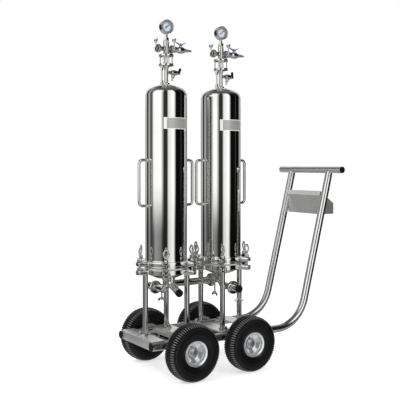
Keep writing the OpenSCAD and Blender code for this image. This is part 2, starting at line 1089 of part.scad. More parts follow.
module bleed_tubes() {
    color(steel)
        at_each()
            translate([bleed_x, 0, bleed_low]) {
                cylinder(r = 4, h = sight_low - bleed_low);
                hex_bar(14, 11);
                translate([0, 0, sight_low - bleed_low - 22])
                    hex_bar(14, 12);
                translate([0, 0, sight_low - bleed_low - 11])
                    cylinder(r = 8, h = 11);
            }
}

module sight_frames() {
    color(steel)
        at_each()
            difference() {
                union() {
                    for (z = [sight_low, sight_high])
                        translate([0, 0, z])
                            cylinder(r = sight_d / 2, h = flange_t);
                    for (a = [45:90:315])
                        rotate([0, 0, a])
                            translate([sight_d / 2 - 7, 0, sight_low + 1])
                                cylinder(r = 3, h = glass_h + flange_t + 7);
                }
                translate([0, 0, sight_low - 1])
                    cylinder(r = stem_r - 3, h = fit_low - sight_low + 2);
            }
}

// glass tubes of the sight glasses and windows of the gauges
module sight_glasses() {
    color(clear)
        at_each() {
            translate([0, 0, sight_mid])
                difference() {
                    cylinder(r = 17, h = glass_h);
                    translate([0, 0, -1])
                        cylinder(r = 14, h = glass_h + 2);
                }
            translate([0, 0, gauge_z])
                rod_y(gauge_r - 3.1, -15, -13);
        }
}

module cross_fittings() {
    color(steel)
        at_each()
            difference() {
                union() {
                    translate([0, 0, fit_low])
                        cylinder(r = 14, h = fit_top - fit_low);
                    translate([0, 0, fit_low])
                        cylinder(r = 19, h = 4);
                    translate([0, 0, arm_z]) {
                        rod_x(10.5, -42, 30);
                        rod_x(17, -42, -39);
                        rod_x(17, 27, 30);
                    }
                    translate([0, 0, fit_top])
                        hex_bar(25, 12);
                }
                translate([0, 0, fit_low - 1])
                    cylinder(r = stem_r - 3, h = 50);
            }
}

// a small clamp with its wing nut on top
module top_clamp() {
    w = 13;
    clamp_half(20, 17, 11, w, true);
    mirror([0, 0, 1])
        clamp_half(20, 17, 11, w, false);
    translate([24, 0, 0]) {
        translate([0, 0, -9])
            cylinder(r = 2.6, h = 54);
        translate([0, 0, -12])
            cylinder(r = 5.5, h = 4);
        translate([0, 0, 31])
            wing_nut(2.6 + run, 5.5, 36, 8);
    }
}

// small clamps and the blind caps that close the front arms
module top_clamps() {
    color(steel)
        at_each() {
            translate([-42, 0, arm_z])
                rotate([0, 0, 90])
                    top_clamp();
            translate([30, 0, arm_z])
                rotate([0, 0, -90])
                    top_clamp();
            translate([0, 0, arm_z]) {
                rod_x(17, -45, -42);
                rod_x(9, -56, -44);
            }
        }
}

// ball valve with its hose nozzle
module hose_valves() {
    color(steel)
        at_each()
            translate([0, 0, arm_z]) {
                rod_x(17, 30, 33);
                rod_x(10.5, 32, 44);
                translate([43, 0, 0])
                    rotate([0, 90, 0])
                        hex_bar(27, 12);
                rod_x(11.5, 54, 100);
                translate([valve_x, 0, 0])
                    sphere(r = 16);
                translate([valve_x, 0, 8])
                    cylinder(r = 7, h = 13);
                translate([valve_x, 0, 20])
                    cylinder(r = 3, h = 10);
                translate([98, 0, 0])
                    rotate([0, 90, 0])
                        hex_bar(20, 7);
                for (x = [104, 111, 118])
                    translate([x, 0, 0])
                        rotate([0, 90, 0])
                            cylinder(r1 = nozzle_r + 3, r2 = nozzle_r + 1, h = 7.5);
                rod_x(nozzle_r, 120, 139);
            }
}

// blue wing lever; it turns about the valve's upright spindle
module lever() {
    color(blue)
        translate([valve_x, 0, arm_z + 22])
            difference() {
                union() {
                    cylinder(r = 6.5, h = 8);
                    for (a = [0, 180])
                        rotate([0, 0, a])
                            rotate([90, 0, 0])
                                translate([0, 0, -5])
                                    linear_extrude(10)
                                        polygon([[3, 0], [7, 0], [15, 6], [27, 12],
                                            [27, 15.5], [13, 9.5], [6, 8], [3, 8]]);
                }
                translate([0, 0, -1])
                    cylinder(r = 3 + run, h = 30);
            }
}

module lever_1() {
    at_a()
        lever();
}

module lever_2() {
    at_b()
        lever();
}

// small sample valve on the stem, with a spout that points down
module sample_valves() {
    color(steel)
        at_each()
            difference() {
                union() {
                    translate([0, 0, sample_z]) {
                        rod_x(6.5, stem_r - 2, 34);
                        rod_x(11, 30, 54);
                        translate([53, 0, 0])
                            rotate([0, 90, 0])
                                hex_bar(17, 8);
                        rod_x(3, 60, 75);
                    }
                    translate([42, 0, sample_z])
                        rotate([0, 196, 0]) {
                            cylinder(r1 = 8, r2 = 6, h = 26);
                            cylinder(r = 4, h = 40);
                        }
                }
                cylinder(r = stem_r, h = 3000);
            }
}

// black lever on the sample valve's spindle, turned by a
module sample_lever(a) {
    color(black)
        translate([64, 0, sample_z])
            rotate([a, 0, 0])
                difference() {
                    union() {
                        rod_x(7, 0, 10);
                        translate([1, -5.5, 0])
                            cube([8, 11, 20]);
                        translate([0, 0, 20])
                            rod_x(5.5, 1, 9);
                    }
                    rod_x(3 + run, -1, 12);
                }
}

module sample_lever_1() {
    at_a()
        sample_lever(40);
}

module sample_lever_2() {
    at_b()
        sample_lever(0);
}

// pressure gauge: open case, dial and pointer face the near side
module gauge_cases() {
    color(steel)
        at_each()
            translate([0, 0, gauge_z]) {
                difference() {
                    union() {
                        rod_y(gauge_r - 0.6, -14, 14);
                        rod_y(gauge_r, -16, -11);
                        translate([0, 0, -gauge_r - 17])
                            cylinder(r = 6, h = 22);
                        translate([0, 0, -gauge_r - 17.5])
                            hex_bar(14, 11);
                    }
                    rod_y(gauge_r - 3, -20, -4);
                }
            }
}

module gauge_dials() {
    color(white)
        at_each()
            translate([0, 0, gauge_z]) {
                rod_y(gauge_r - 3.1, -5.5, -4);
                rod_y(1.5, -9.5, -5);
            }
}

module pointer() {
    color(black)
        translate([0, 0, gauge_z])
            rotate([0, 48, 0])
                difference() {
                    union() {
                        rod_y(3.5, -9, -7);
                        translate([0, -7.4, 0])
                            rotate([90, 0, 0])
                                linear_extrude(1)
                                    polygon([[-2, -9], [2, -9], [1.6, 0], [0.4, 22],
                                        [-0.4, 22], [-1.6, 0]]);
                    }
                    rod_y(1.5 + run, -12, -4);
                }
}

module pointer_1() {
    at_a()
        pointer();
}

module pointer_2() {
    at_b()
        pointer();
}

frame_near();
frame_far();
handlebar();
tube_caps();
deck_plates();
tray();
frame_bolts();
axles();
axle_nuts();
rim(-1, -1);  // rim_1
rim(1, -1);  // rim_2
rim(-1, 1);  // rim_3
rim(1, 1);  // rim_4
tyre(-1, -1);  // tyre_1
tyre(1, -1);  // tyre_2
tyre(-1, 1);  // tyre_3
tyre(1, 1);  // tyre_4
base_1();
base_2();
legs();
gaskets();
bell_1();
bell_2();
nameplates();
pivot_pins();
cartridges();
bolt_a(0);  // bolt_a1
bolt_a(1);  // bolt_a2
bolt_a(2);  // bolt_a3
bolt_a(3);  // bolt_a4
bolt_a(4);  // bolt_a5
bolt_a(5);  // bolt_a6
bolt_b(0);  // bolt_b1
bolt_b(1);  // bolt_b2
bolt_b(2);  // bolt_b3
bolt_b(3);  // bolt_b4
bolt_b(4);  // bolt_b5
bolt_b(5);  // bolt_b6
outlet_bends();
cross_pipe();
inlet_bends();
pipe_clamps();
pipe_caps();
stems();
bleed_tubes();
sight_frames();
sight_glasses();
cross_fittings();
top_clamps();
hose_valves();
lever_1();
lever_2();
sample_valves();
sample_lever_1();
sample_lever_2();
gauge_cases();
gauge_dials();
pointer_1();
pointer_2();
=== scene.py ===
"""Filter cart: two polished cartridge housings on a four wheel trolley.

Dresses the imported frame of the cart. Shapes are drawn in millimetres and
become metres when a mesh is made. X runs along the cart towards the handle,
Y across it and Z up.
"""

from __future__ import annotations

import logging
import math
from dataclasses import dataclass, field
from enum import Enum
from typing import Sequence

import bpy
import bmesh
import numpy as np
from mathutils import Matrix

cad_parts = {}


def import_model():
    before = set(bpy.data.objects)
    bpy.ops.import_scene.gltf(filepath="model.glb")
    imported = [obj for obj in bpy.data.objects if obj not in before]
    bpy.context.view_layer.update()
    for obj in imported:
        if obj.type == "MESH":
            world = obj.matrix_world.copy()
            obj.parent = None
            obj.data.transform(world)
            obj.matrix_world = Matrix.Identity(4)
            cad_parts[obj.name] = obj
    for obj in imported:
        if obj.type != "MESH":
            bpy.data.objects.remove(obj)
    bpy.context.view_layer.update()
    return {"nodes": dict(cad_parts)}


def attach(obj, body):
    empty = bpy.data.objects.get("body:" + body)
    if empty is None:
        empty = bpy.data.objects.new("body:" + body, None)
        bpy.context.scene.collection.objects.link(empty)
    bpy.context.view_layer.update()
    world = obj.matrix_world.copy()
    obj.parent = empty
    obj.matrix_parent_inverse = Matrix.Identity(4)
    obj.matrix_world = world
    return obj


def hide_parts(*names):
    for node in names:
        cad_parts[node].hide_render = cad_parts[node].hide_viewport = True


LOG = logging.getLogger("filter_cart")
MM = 0.001
TAU = 2.0 * math.pi
Vec = Sequence[float]


# Shader trees


class Sock:
    """A shader socket that takes part in Python expressions."""

    def __init__(self, tree: "Tree", socket: bpy.types.NodeSocket) -> None:
        """Wraps one output socket of a tree."""
        self.tree = tree
        self.socket = socket

    def _math(self, operation: str, a: object, b: object) -> "Sock":
        """Adds a Math node of two values.

        Args:
            operation: the node's operation.
            a: first value or socket.
            b: second value or socket.

        Returns:
            The node's result.
        """
        return self.tree.node("ShaderNodeMath", {"operation": operation}, {0: a, 1: b})

    def __add__(self, other: object) -> "Sock":
        """Sum of two values."""
        return self._math("ADD", self, other)

    __radd__ = __add__

    def __sub__(self, other: object) -> "Sock":
        """Difference of two values."""
        return self._math("SUBTRACT", self, other)

    def __rsub__(self, other: object) -> "Sock":
        """Difference with the number first."""
        return self._math("SUBTRACT", other, self)

    def __mul__(self, other: object) -> "Sock":
        """Product of two values."""
        return self._math("MULTIPLY", self, other)

    __rmul__ = __mul__

    def atan2(self, other: object) -> "Sock":
        """Angle whose sine part is this value and cosine part the other."""
        return self._math("ARCTAN2", self, other)

    def step(self, low: float, high: float) -> "Sock":
        """Smooth rise of the value.

        Args:
            low: where it is still zero.
            high: where it has reached one.

        Returns:
            The value from zero to one.
        """
        return self.tree.node("ShaderNodeMapRange", {"interpolation_type": "SMOOTHSTEP"},
                              {"Value": self, "From Min": low, "From Max": high})


class Tree:
    """A material's or the world's nodes, made one call at a time."""

    def __init__(self, owner: bpy.types.ID) -> None:
        """Clears the owner's node tree and keeps it.

        Args:
            owner: a material or a world.
        """
        owner.use_nodes = True
        self.nodes = owner.node_tree.nodes
        self.links = owner.node_tree.links
        self.nodes.clear()

    def node(self, kind: str, settings: dict[str, object] | None = None,
             inputs: dict[object, object] | None = None, out: object = 0) -> Sock:
        """Adds a node, its settings first and then its sockets.

        Args:
            kind: the node's type.
            settings: properties, or "stops" for a colour ramp.
            inputs: socket name or number to a value or a Sock.
            out: name or number of the output to hand back.

        Returns:
            The chosen output, or the node's first one.
        """
        made = self.nodes.new(kind)
        for name, value in (settings or {}).items():
            if name == "stops":
                self._stops(made.color_ramp, value)
            else:
                setattr(made, name, value)
        for name, value in (inputs or {}).items():
            socket = made.inputs[name]
            if isinstance(value, Sock):
                self.links.new(value.socket, socket)
            else:
                socket.default_value = value
        return Sock(self, made.outputs[out]) if len(made.outputs) else Sock(self, None)

    @staticmethod
    def _stops(ramp: bpy.types.ColorRamp, stops: Sequence[tuple[float, float]]) -> None:
        """Fills a colour ramp.

        Args:
            ramp: the ramp.
            stops: its places from 0 to 1, each with the grey there.
        """
        while len(ramp.elements) < len(stops):
            ramp.elements.new(1.0)
        for element, (place, level) in zip(ramp.elements, stops):
            element.position = place
            element.color = grey(level)

    def noise(self, scale: float, detail: float = 3.0, stretch: Vec = (1.0, 1.0, 1.0)) -> Sock:
        """A noise value from 0 to 1 over the piece's own coordinates.

        Args:
            scale: cells in a metre.
            detail: octaves.
            stretch: factors on the coordinates first, such as a Grain's.

        Returns:
            The value.
        """
        spot = self.node("ShaderNodeTexCoord", out="Object")
        place = self.node("ShaderNodeMapping", None, {"Vector": spot, "Scale": stretch})
        inputs = {"Vector": place, "Scale": scale, "Detail": detail}
        return self.node("ShaderNodeTexNoise", None, inputs)

    def mix(self, mask: object, a: object, b: object) -> Sock:
        """Colour a where mask is zero and b where it is one."""
        return self.node("ShaderNodeMix", {"data_type": "RGBA"}, {0: mask, 6: a, 7: b}, out=2)

    def tinted(self, mask: object, colour: Vec, share: float) -> Sock:
        """The colour where mask is zero, and that share of it where it is one."""
        return self.mix(mask, rgba(colour), rgba([c * share for c in colour]))

    def bump(self, height: Sock, strength: float, distance: float) -> Sock:
        """A Bump node's normal for a height in units of distance."""
        inputs = {"Height": height, "Strength": strength, "Distance": distance}
        return self.node("ShaderNodeBump", None, inputs)

    def surface(self, inputs: dict[object, object]) -> None:
        """Ends the tree in a Principled shader with these sockets."""
        shader = self.node("ShaderNodeBsdfPrincipled", None, inputs)
        self.node("ShaderNodeOutputMaterial", None, {"Surface": shader})


def rgba(colour: Vec) -> tuple[float, float, float, float]:
    """A colour with full alpha."""
    return (colour[0], colour[1], colour[2], 1.0)


def grey(level: float) -> tuple[float, float, float, float]:
    """A grey with full alpha."""
    return rgba((level, level, level))


class Grain(Enum):
    """Which way the polishing lines of a metal run."""

    NONE = (60.0, 60.0, 60.0)
    UPRIGHT = (900.0, 900.0, 6.0)
    ROUND = (14.0, 14.0, 900.0)
    ACROSS = (700.0, 8.0, 700.0)


@dataclass(frozen=True)
class Finish:
    """Base of every finish; it makes one named material."""

    name: str
    slot: str

    def dress(self, tree: Tree) -> None:
        """Fills the material's tree."""
        raise NotImplementedError

    def material(self) -> bpy.types.Material:
        """The finish's material, made at its first use.

        Returns:
            The material, named after the finish.
        """
        name = f"look_{self.name}"
        found = bpy.data.materials.get(name)
        if found is None:
            found = bpy.data.materials.new(name)
            self.dress(Tree(found))
        return found


@dataclass(frozen=True)
class Steel(Finish):
    """Stainless steel with polishing lines, faint smears and fine pits."""

    colour: Vec = (0.80, 0.80, 0.79)
    rough: float = 0.06
    spread: float = 0.05
    grain: Grain = Grain.NONE
    lines: float = 0.02
    smear: float = 0.04
    metallic: float = 1.0
    mottle: float = 0.86

    def dress(self, tree: Tree) -> None:
        """Roughness follows the lines and the smears; a bump carries the lines.

        Args:
            tree: the material's empty tree.
        """
        line = tree.noise(1.0, 2.0, self.grain.value)
        cloud = tree.noise(9.0, 4.0)
        fine = tree.noise(380.0, 2.0)
        soiled = cloud.step(0.45, 0.72)
        rough = self.rough + line * self.spread + soiled * self.smear
        tint = tree.tinted(soiled * 0.35 + line * 0.25, self.colour, self.mottle)
        tree.surface({"Base Color": tint, "Metallic": self.metallic, "Roughness": rough,
                      "Normal": tree.bump(line * 0.8 + fine * 0.2, self.lines, 0.0002)})


@dataclass(frozen=True)
class Paint(Finish):
    """Silver grey lacquer on pressed steel, with fine flake and dust."""

    colour: Vec = (0.50, 0.51, 0.52)
    metallic: float = 0.75
    rough: float = 0.30

    def dress(self, tree: Tree) -> None:
        """Flake varies the roughness and dust darkens the colour in patches.

        Args:
            tree: the material's empty tree.
        """
        flake = tree.noise(900.0, 1.0)
        dust_and_sheen = tree.noise(24.0, 4.0).step(0.5, 0.8)
        peel = tree.noise(260.0, 1.0)
        rough = self.rough + flake * 0.10 + dust_and_sheen * 0.04
        tree.surface({"Base Color": tree.tinted(dust_and_sheen * 0.5, self.colour, 0.88),
                      "Metallic": self.metallic, "Roughness": rough, "Coat Weight": 0.3,
                      "Coat Roughness": 0.12, "Normal": tree.bump(peel, 0.12, 0.0003)})


@dataclass(frozen=True)
class Rubber(Finish):
    """Black tyre rubber with a faint bloom and a painted highlight in a light colour where a point
    attribute is set.
    """

    colour: Vec = (0.016, 0.016, 0.017)
    rough: float = 0.52
    # Light colour of the painted highlight on the tread.
    dust_and_sheen: Vec = (0.20, 0.20, 0.21)

    def dress(self, tree: Tree) -> None:
        """Bloom lightens the colour in patches; a painted highlight puts a light colour on the
        marked tread.

        Args:
            tree: the material's empty tree.
        """
        bloom = tree.noise(14.0, 5.0)
        skin = tree.noise(1400.0, 2.0)
        # Painted highlight: the point attribute marks where the tread takes the light colour.
        painted_highlight = tree.node("ShaderNodeAttribute", {"attribute_name": "painted_highlight"}, out="Fac")
        rubber = tree.tinted(bloom.step(0.4, 0.75), self.colour, 1.7)
        tree.surface({"Base Color": tree.mix(painted_highlight * (0.55 + bloom * 0.5), rubber, rgba(self.dust_and_sheen)),
                      "Roughness": self.rough + bloom * 0.16 + painted_highlight * 0.2,
                      "Specular IOR Level": 0.30, "Normal": tree.bump(skin, 0.25, 0.0003)})


@dataclass(frozen=True)
class Moulded(Finish):
    """Moulded plastic or dipped vinyl, glossy, with a fine skin."""

    colour: Vec = (0.010, 0.010, 0.011)
    rough: float = 0.28
    coat: float = 0.0
    gloss: float = 0.5

    def dress(self, tree: Tree) -> None:
        """Slow noise varies gloss and colour a little, quick noise the skin.

        Args:
            tree: the material's empty tree.
        """
        slow = tree.noise(40.0, 3.0)
        skin = tree.noise(1100.0, 1.0)
        tree.surface({"Base Color": tree.tinted(slow, self.colour, 1.35), "Roughness": self.rough
                      + slow * 0.12, "Coat Weight": self.coat, "Specular IOR Level": self.gloss,
                      "Normal": tree.bump(skin, 0.10, 0.0002)})


@dataclass(frozen=True)
class Clear(Finish):
    """Clear glass of a tube or window, seen through by its alpha."""

    colour: Vec = (0.86, 0.92, 0.93)
    alpha: float = 0.28

    def dress(self, tree: Tree) -> None:
        """Faint marks vary the roughness and the alpha.

        Args:
            tree: the material's empty tree.
        """
        marks = tree.noise(60.0, 4.0).step(0.5, 0.8)
        tree.surface({"Base Color": rgba(self.colour), "Roughness": 0.02 + marks * 0.08,
                      "Alpha": self.alpha + marks * 0.06, "Specular IOR Level": 0.8})


@dataclass(frozen=True)
class Wound(Finish):
    """White fibre wound round a filter cartridge."""

    colour: Vec = (0.86, 0.86, 0.82)

    def dress(self, tree: Tree) -> None:
        """Noise drawn out round the axis gives the wound yarn.

        Args:
            tree: the material's empty tree.
        """
        shade = tree.noise(60.0, 3.0, (1.0, 1.0, 6.0))
        yarn = tree.noise(1.0, 2.0, (30.0, 30.0, 400.0))
        tree.surface({"Base Color": tree.tinted(shade, self.colour, 0.85), "Roughness": 0.85
                      + shade * 0.1, "Normal": tree.bump(yarn, 0.5, 0.0008)})


MIRROR = Steel("mirror_steel", "polished_steel", colour=(0.84, 0.84, 0.83), rough=0.03,
               spread=0.012, grain=Grain.ROUND, lines=0.006, smear=0.012)
RING_STEEL = Steel("turned_steel", "polished_steel", colour=(0.78, 0.78, 0.77), rough=0.05,
                   spread=0.03, grain=Grain.ROUND, lines=0.015, smear=0.02)
PIPE_STEEL = Steel("pipe_steel", "polished_steel", rough=0.045, spread=0.03, lines=0.01,
                   smear=0.02)
LEG_STEEL = Steel("leg_steel", "polished_steel", colour=(0.70, 0.70, 0.69), rough=0.10,
                  spread=0.05, grain=Grain.UPRIGHT, lines=0.015, smear=0.03)
TUBE_STEEL = Steel("tube_steel", "tube_steel", colour=(0.82, 0.82, 0.81), rough=0.14, spread=0.02,
                   lines=0.003, smear=0.02)
CAST_STEEL = Steel("cast_steel", "fitting_steel", colour=(0.76, 0.76, 0.75), rough=0.07,
                   spread=0.05, lines=0.03, smear=0.03)
SHEET_STEEL = Steel("sheet_steel", "sheet_steel", colour=(0.72, 0.72, 0.71), rough=0.24,
                    spread=0.10, grain=Grain.ACROSS, lines=0.05, metallic=0.8)
TRAY_STEEL = Steel("tray_steel", "sheet_steel", colour=(0.78, 0.78, 0.77), rough=0.30, spread=0.16,
                   grain=Grain.UPRIGHT, lines=0.10, smear=0.24, metallic=0.76, mottle=0.35)
# Painted shade: a darker copy of the tray steel for the tray's two ends.
PAINTED_SHADE_TRAY_END = Steel("tray_end", "sheet_steel", colour=(0.46, 0.46, 0.45), rough=0.30, spread=0.14,
                 grain=Grain.UPRIGHT, lines=0.10, smear=0.20, metallic=0.80)
PLATE_STEEL = Steel("plate_steel", "sheet_steel", colour=(0.93, 0.93, 0.92), rough=0.32,
                    spread=0.12, grain=Grain.ROUND, lines=0.05, metallic=0.15)
FIELD_STEEL = Steel("field_steel", "sheet_steel", colour=(0.50, 0.50, 0.49), rough=0.36,
                    spread=0.14, grain=Grain.ROUND, lines=0.10, smear=0.12, metallic=0.5)
# Painted light: a lighter, less metallic copy of the tray steel for the tray's hem.
PAINTED_LIGHT_HEM_STEEL = Steel("hem_steel_painted_light", "sheet_steel", colour=(0.86, 0.86, 0.85), rough=0.34, spread=0.10,
                  grain=Grain.ROUND, lines=0.05, metallic=0.45)
AXLE_STEEL = Steel("axle_steel", "axle_steel", colour=(0.60, 0.60, 0.60), rough=0.18, spread=0.10,
                   grain=Grain.ACROSS, lines=0.05)
RIM_PAINT = Paint("rim_paint", "rim_grey", colour=(0.80, 0.81, 0.82), rough=0.15)
TYRE_RUBBER = Rubber("tyre_rubber", "tyre_rubber", colour=(0.004, 0.004, 0.0042), rough=0.17)
BLACK_CAP = Moulded("black_cap", "black_plastic", colour=(0.005, 0.005, 0.0055), gloss=0.22)
BLUE_VINYL = Moulded("blue_vinyl", "lever_blue", colour=(0.030, 0.055, 0.30), rough=0.22, coat=0.4)
SEAL_WHITE = Moulded("seal_white", "gasket_white", colour=(0.45, 0.45, 0.43), rough=0.48)
DIAL_WHITE = Moulded("dial_white", "dial_white", colour=(0.62, 0.66, 0.71), rough=0.45)
INK_BLACK = Moulded("ink_black", "pointer_black", colour=(0.008, 0.008, 0.010), rough=0.5)
# Painted shade: a dark ring round the dial's edge stands for the shade inside the bezel.
PAINTED_SHADE_RING = Paint("painted_shade_ring", "fitting_steel", colour=(0.10, 0.11, 0.11), metallic=0.3)
GLASS = Clear("clear_glass", "clear_glass")
PANE = Clear("window_glass", "clear_glass", alpha=0.07)
FIBRE = Wound("wound_fibre", "filter_medium")


# Drawing surfaces


# Axes of a drawing: where its X, Y and Z point in the place that holds it.
STANDING = ((1, 0, 0), (0, 0, 1), (0, -1, 0))
UPSIDE_DOWN = ((1, 0, 0), (0, -1, 0), (0, 0, -1))
ALONG_X = ((0, 1, 0), (0, 0, 1), (1, 0, 0))
ALONG_Y = ((0, 0, 1), (1, 0, 0), (0, 1, 0))

# Half a corner's angle from which it counts as straight, the share of a side
# that an arc may take, and the least divisor of a mitre.
NEARLY_STRAIGHT = 1.565
LONGEST_REACH = 0.48
SHARPEST_MITRE = 0.35


@dataclass(frozen=True)
class Place:
    """Where a local drawing stands: an origin and the images of its axes."""

    origin: Vec = (0.0, 0.0, 0.0)
    axes: Sequence[Vec] = ((1.0, 0.0, 0.0), (0.0, 1.0, 0.0), (0.0, 0.0, 1.0))

    def put(self, points: np.ndarray) -> np.ndarray:
        """Local points moved into the outer frame."""
        axes, origin = np.asarray(self.axes, float), np.asarray(self.origin, float)
        return np.asarray(points, float) @ axes + origin

    def inside(self, outer: "Place") -> "Place":
        """This place, taken as drawn within another one."""
        axes = np.asarray(self.axes, float) @ np.asarray(outer.axes, float)
        return Place(tuple(outer.put(np.asarray(self.origin, float))), axes)

    def moved(self, x: float = 0.0, y: float = 0.0, z: float = 0.0) -> "Place":
        """The place shifted along its own axes."""
        return Place((x, y, z)).inside(self)

    def swapped(self, axes: Sequence[Vec], x: float = 0.0, y: float = 0.0,
                z: float = 0.0) -> "Place":
        """The place shifted along its own axes, with other axes drawn in it."""
        return Place((x, y, z), axes).inside(self)

    def sided(self, side: float) -> "Place":
        """The place itself for side 1, turned over about its first axis for -1."""
        return self if side > 0 else self.swapped(UPSIDE_DOWN)

    def spun(self, degrees: float) -> "Place":
        """The place turned about its own third axis.

        Args:
            degrees: the turn, anticlockwise from the axis's tip.

        Returns:
            The turned place.
        """
        a = math.radians(degrees)
        c, s = math.cos(a), math.sin(a)
        return self.swapped(((c, s, 0), (-s, c, 0), (0, 0, 1)))


def aimed(origin: Vec, direction: Vec) -> Place:
    """A place whose third axis points along direction.

    Args:
        origin: the place's origin.
        direction: any vector; it is made unit length.

    Returns:
        A right-handed place.
    """
    z = np.asarray(direction, float)
    z = z / np.linalg.norm(z)
    side = np.array((0.0, 0.0, 1.0)) if abs(z[2]) < 0.9 else np.array((1.0, 0.0, 0.0))
    x = np.cross(side, z)
    x /= np.linalg.norm(x)
    return Place(tuple(origin), (tuple(x), tuple(np.cross(z, x)), tuple(z)))


def along_x(x: float, y: float, z: float) -> Place:
    """A place whose third axis is +X and first axis +Y."""
    return Place((x, y, z), ALONG_X)


def along_y(x: float, y: float, z: float) -> Place:
    """A place whose third axis is +Y and first axis +Z."""
    return Place((x, y, z), ALONG_Y)


def rounded(corners: Sequence[Vec], steps: int = 5, closed: bool = False) -> np.ndarray:
    """A polyline whose corners are arcs, tangent to both sides.

    The arc at a corner starts radius / tan(half the corner's angle) from it,
    or less where the sides are short.

    Args:
        corners: points with one more number each, the corner's radius.
        steps: straight pieces in each arc.
        closed: whether the last point joins the first.

    Returns:
        The points as rows.
    """
    data = np.asarray(corners, float)
    points, radii = data[:, :-1], data[:, -1]
    last = len(points) - 1
    rows: list[np.ndarray] = []
    for i, (point, radius) in enumerate(zip(points, radii)):
        if radius <= 0 or (not closed and i in (0, last)):
            rows.append(point[None])
            continue
        back = points[i - 1] - point
        ahead = points[(i + 1) % len(points)] - point
        size_b, size_a = np.linalg.norm(back), np.linalg.norm(ahead)
        back, ahead = back / size_b, ahead / size_a
        half = math.acos(max(-1.0, min(1.0, float(back @ ahead)))) / 2
        if half > NEARLY_STRAIGHT:
            rows.append(point[None])
            continue
        reach = min(radius / math.tan(half), LONGEST_REACH * size_b, LONGEST_REACH * size_a)
        radius = reach * math.tan(half)
        middle = back + ahead
        centre = point + middle / np.linalg.norm(middle) * radius / math.sin(half)
        start = (point + back * reach - centre) / radius
        end = (point + ahead * reach - centre) / radius
        full = math.acos(max(-1.0, min(1.0, float(start @ end))))
        t = np.linspace(0, 1, steps + 1)[:, None]
        arc = (np.sin((1 - t) * full) * start + np.sin(t * full) * end) / math.sin(full)
        rows.append(centre + arc * radius)
    return np.vstack(rows)


def mirrored(rows: Sequence[Vec]) -> list[Vec]:
    """The rows, then the same backwards with the second number's sign turned."""
    return [*rows, *((a, -b, *rest) for a, b, *rest in reversed(rows))]


def rise(past: np.ndarray, size: float) -> np.ndarray:
    """Zero up to past = 0, then a straight rise to one over that size."""
    return np.clip(past / size, 0, 1)


def supported(line: np.ndarray, gap: float) -> np.ndarray:
    """The line with extra points near both ends of each long piece.

    They keep the shading of long straight faces even.

    Args:
        line: points as rows.
        gap: how far from an end its extra point stands.

    Returns:
        The points as rows.
    """
    rows = [line[:1]]
    for a, b in zip(line[:-1], line[1:]):
        size = float(np.linalg.norm(b - a))
        if size > 6 * gap:
            rows.append((a + (b - a) * gap / size)[None])
            rows.append((b - (b - a) * gap / size)[None])
        rows.append(b[None])
    return np.vstack(rows)


def inset(outline: np.ndarray, depth: float) -> np.ndarray:
    """A closed outline drawn in, each point along its mitred normal.

    Args:
        outline: points as rows of two, anticlockwise.
        depth: how far each side moves.

    Returns:
        The points as rows.
    """
    ahead = np.roll(outline, -1, 0) - outline
    ahead = ahead / np.linalg.norm(ahead, axis=1, keepdims=True)
    normal = np.stack((-ahead[:, 1], ahead[:, 0]), 1)
    both = normal + np.roll(normal, 1, 0)
    scale = np.maximum((both**2).sum(1, keepdims=True) / 2, SHARPEST_MITRE)
    return outline + both / scale * depth


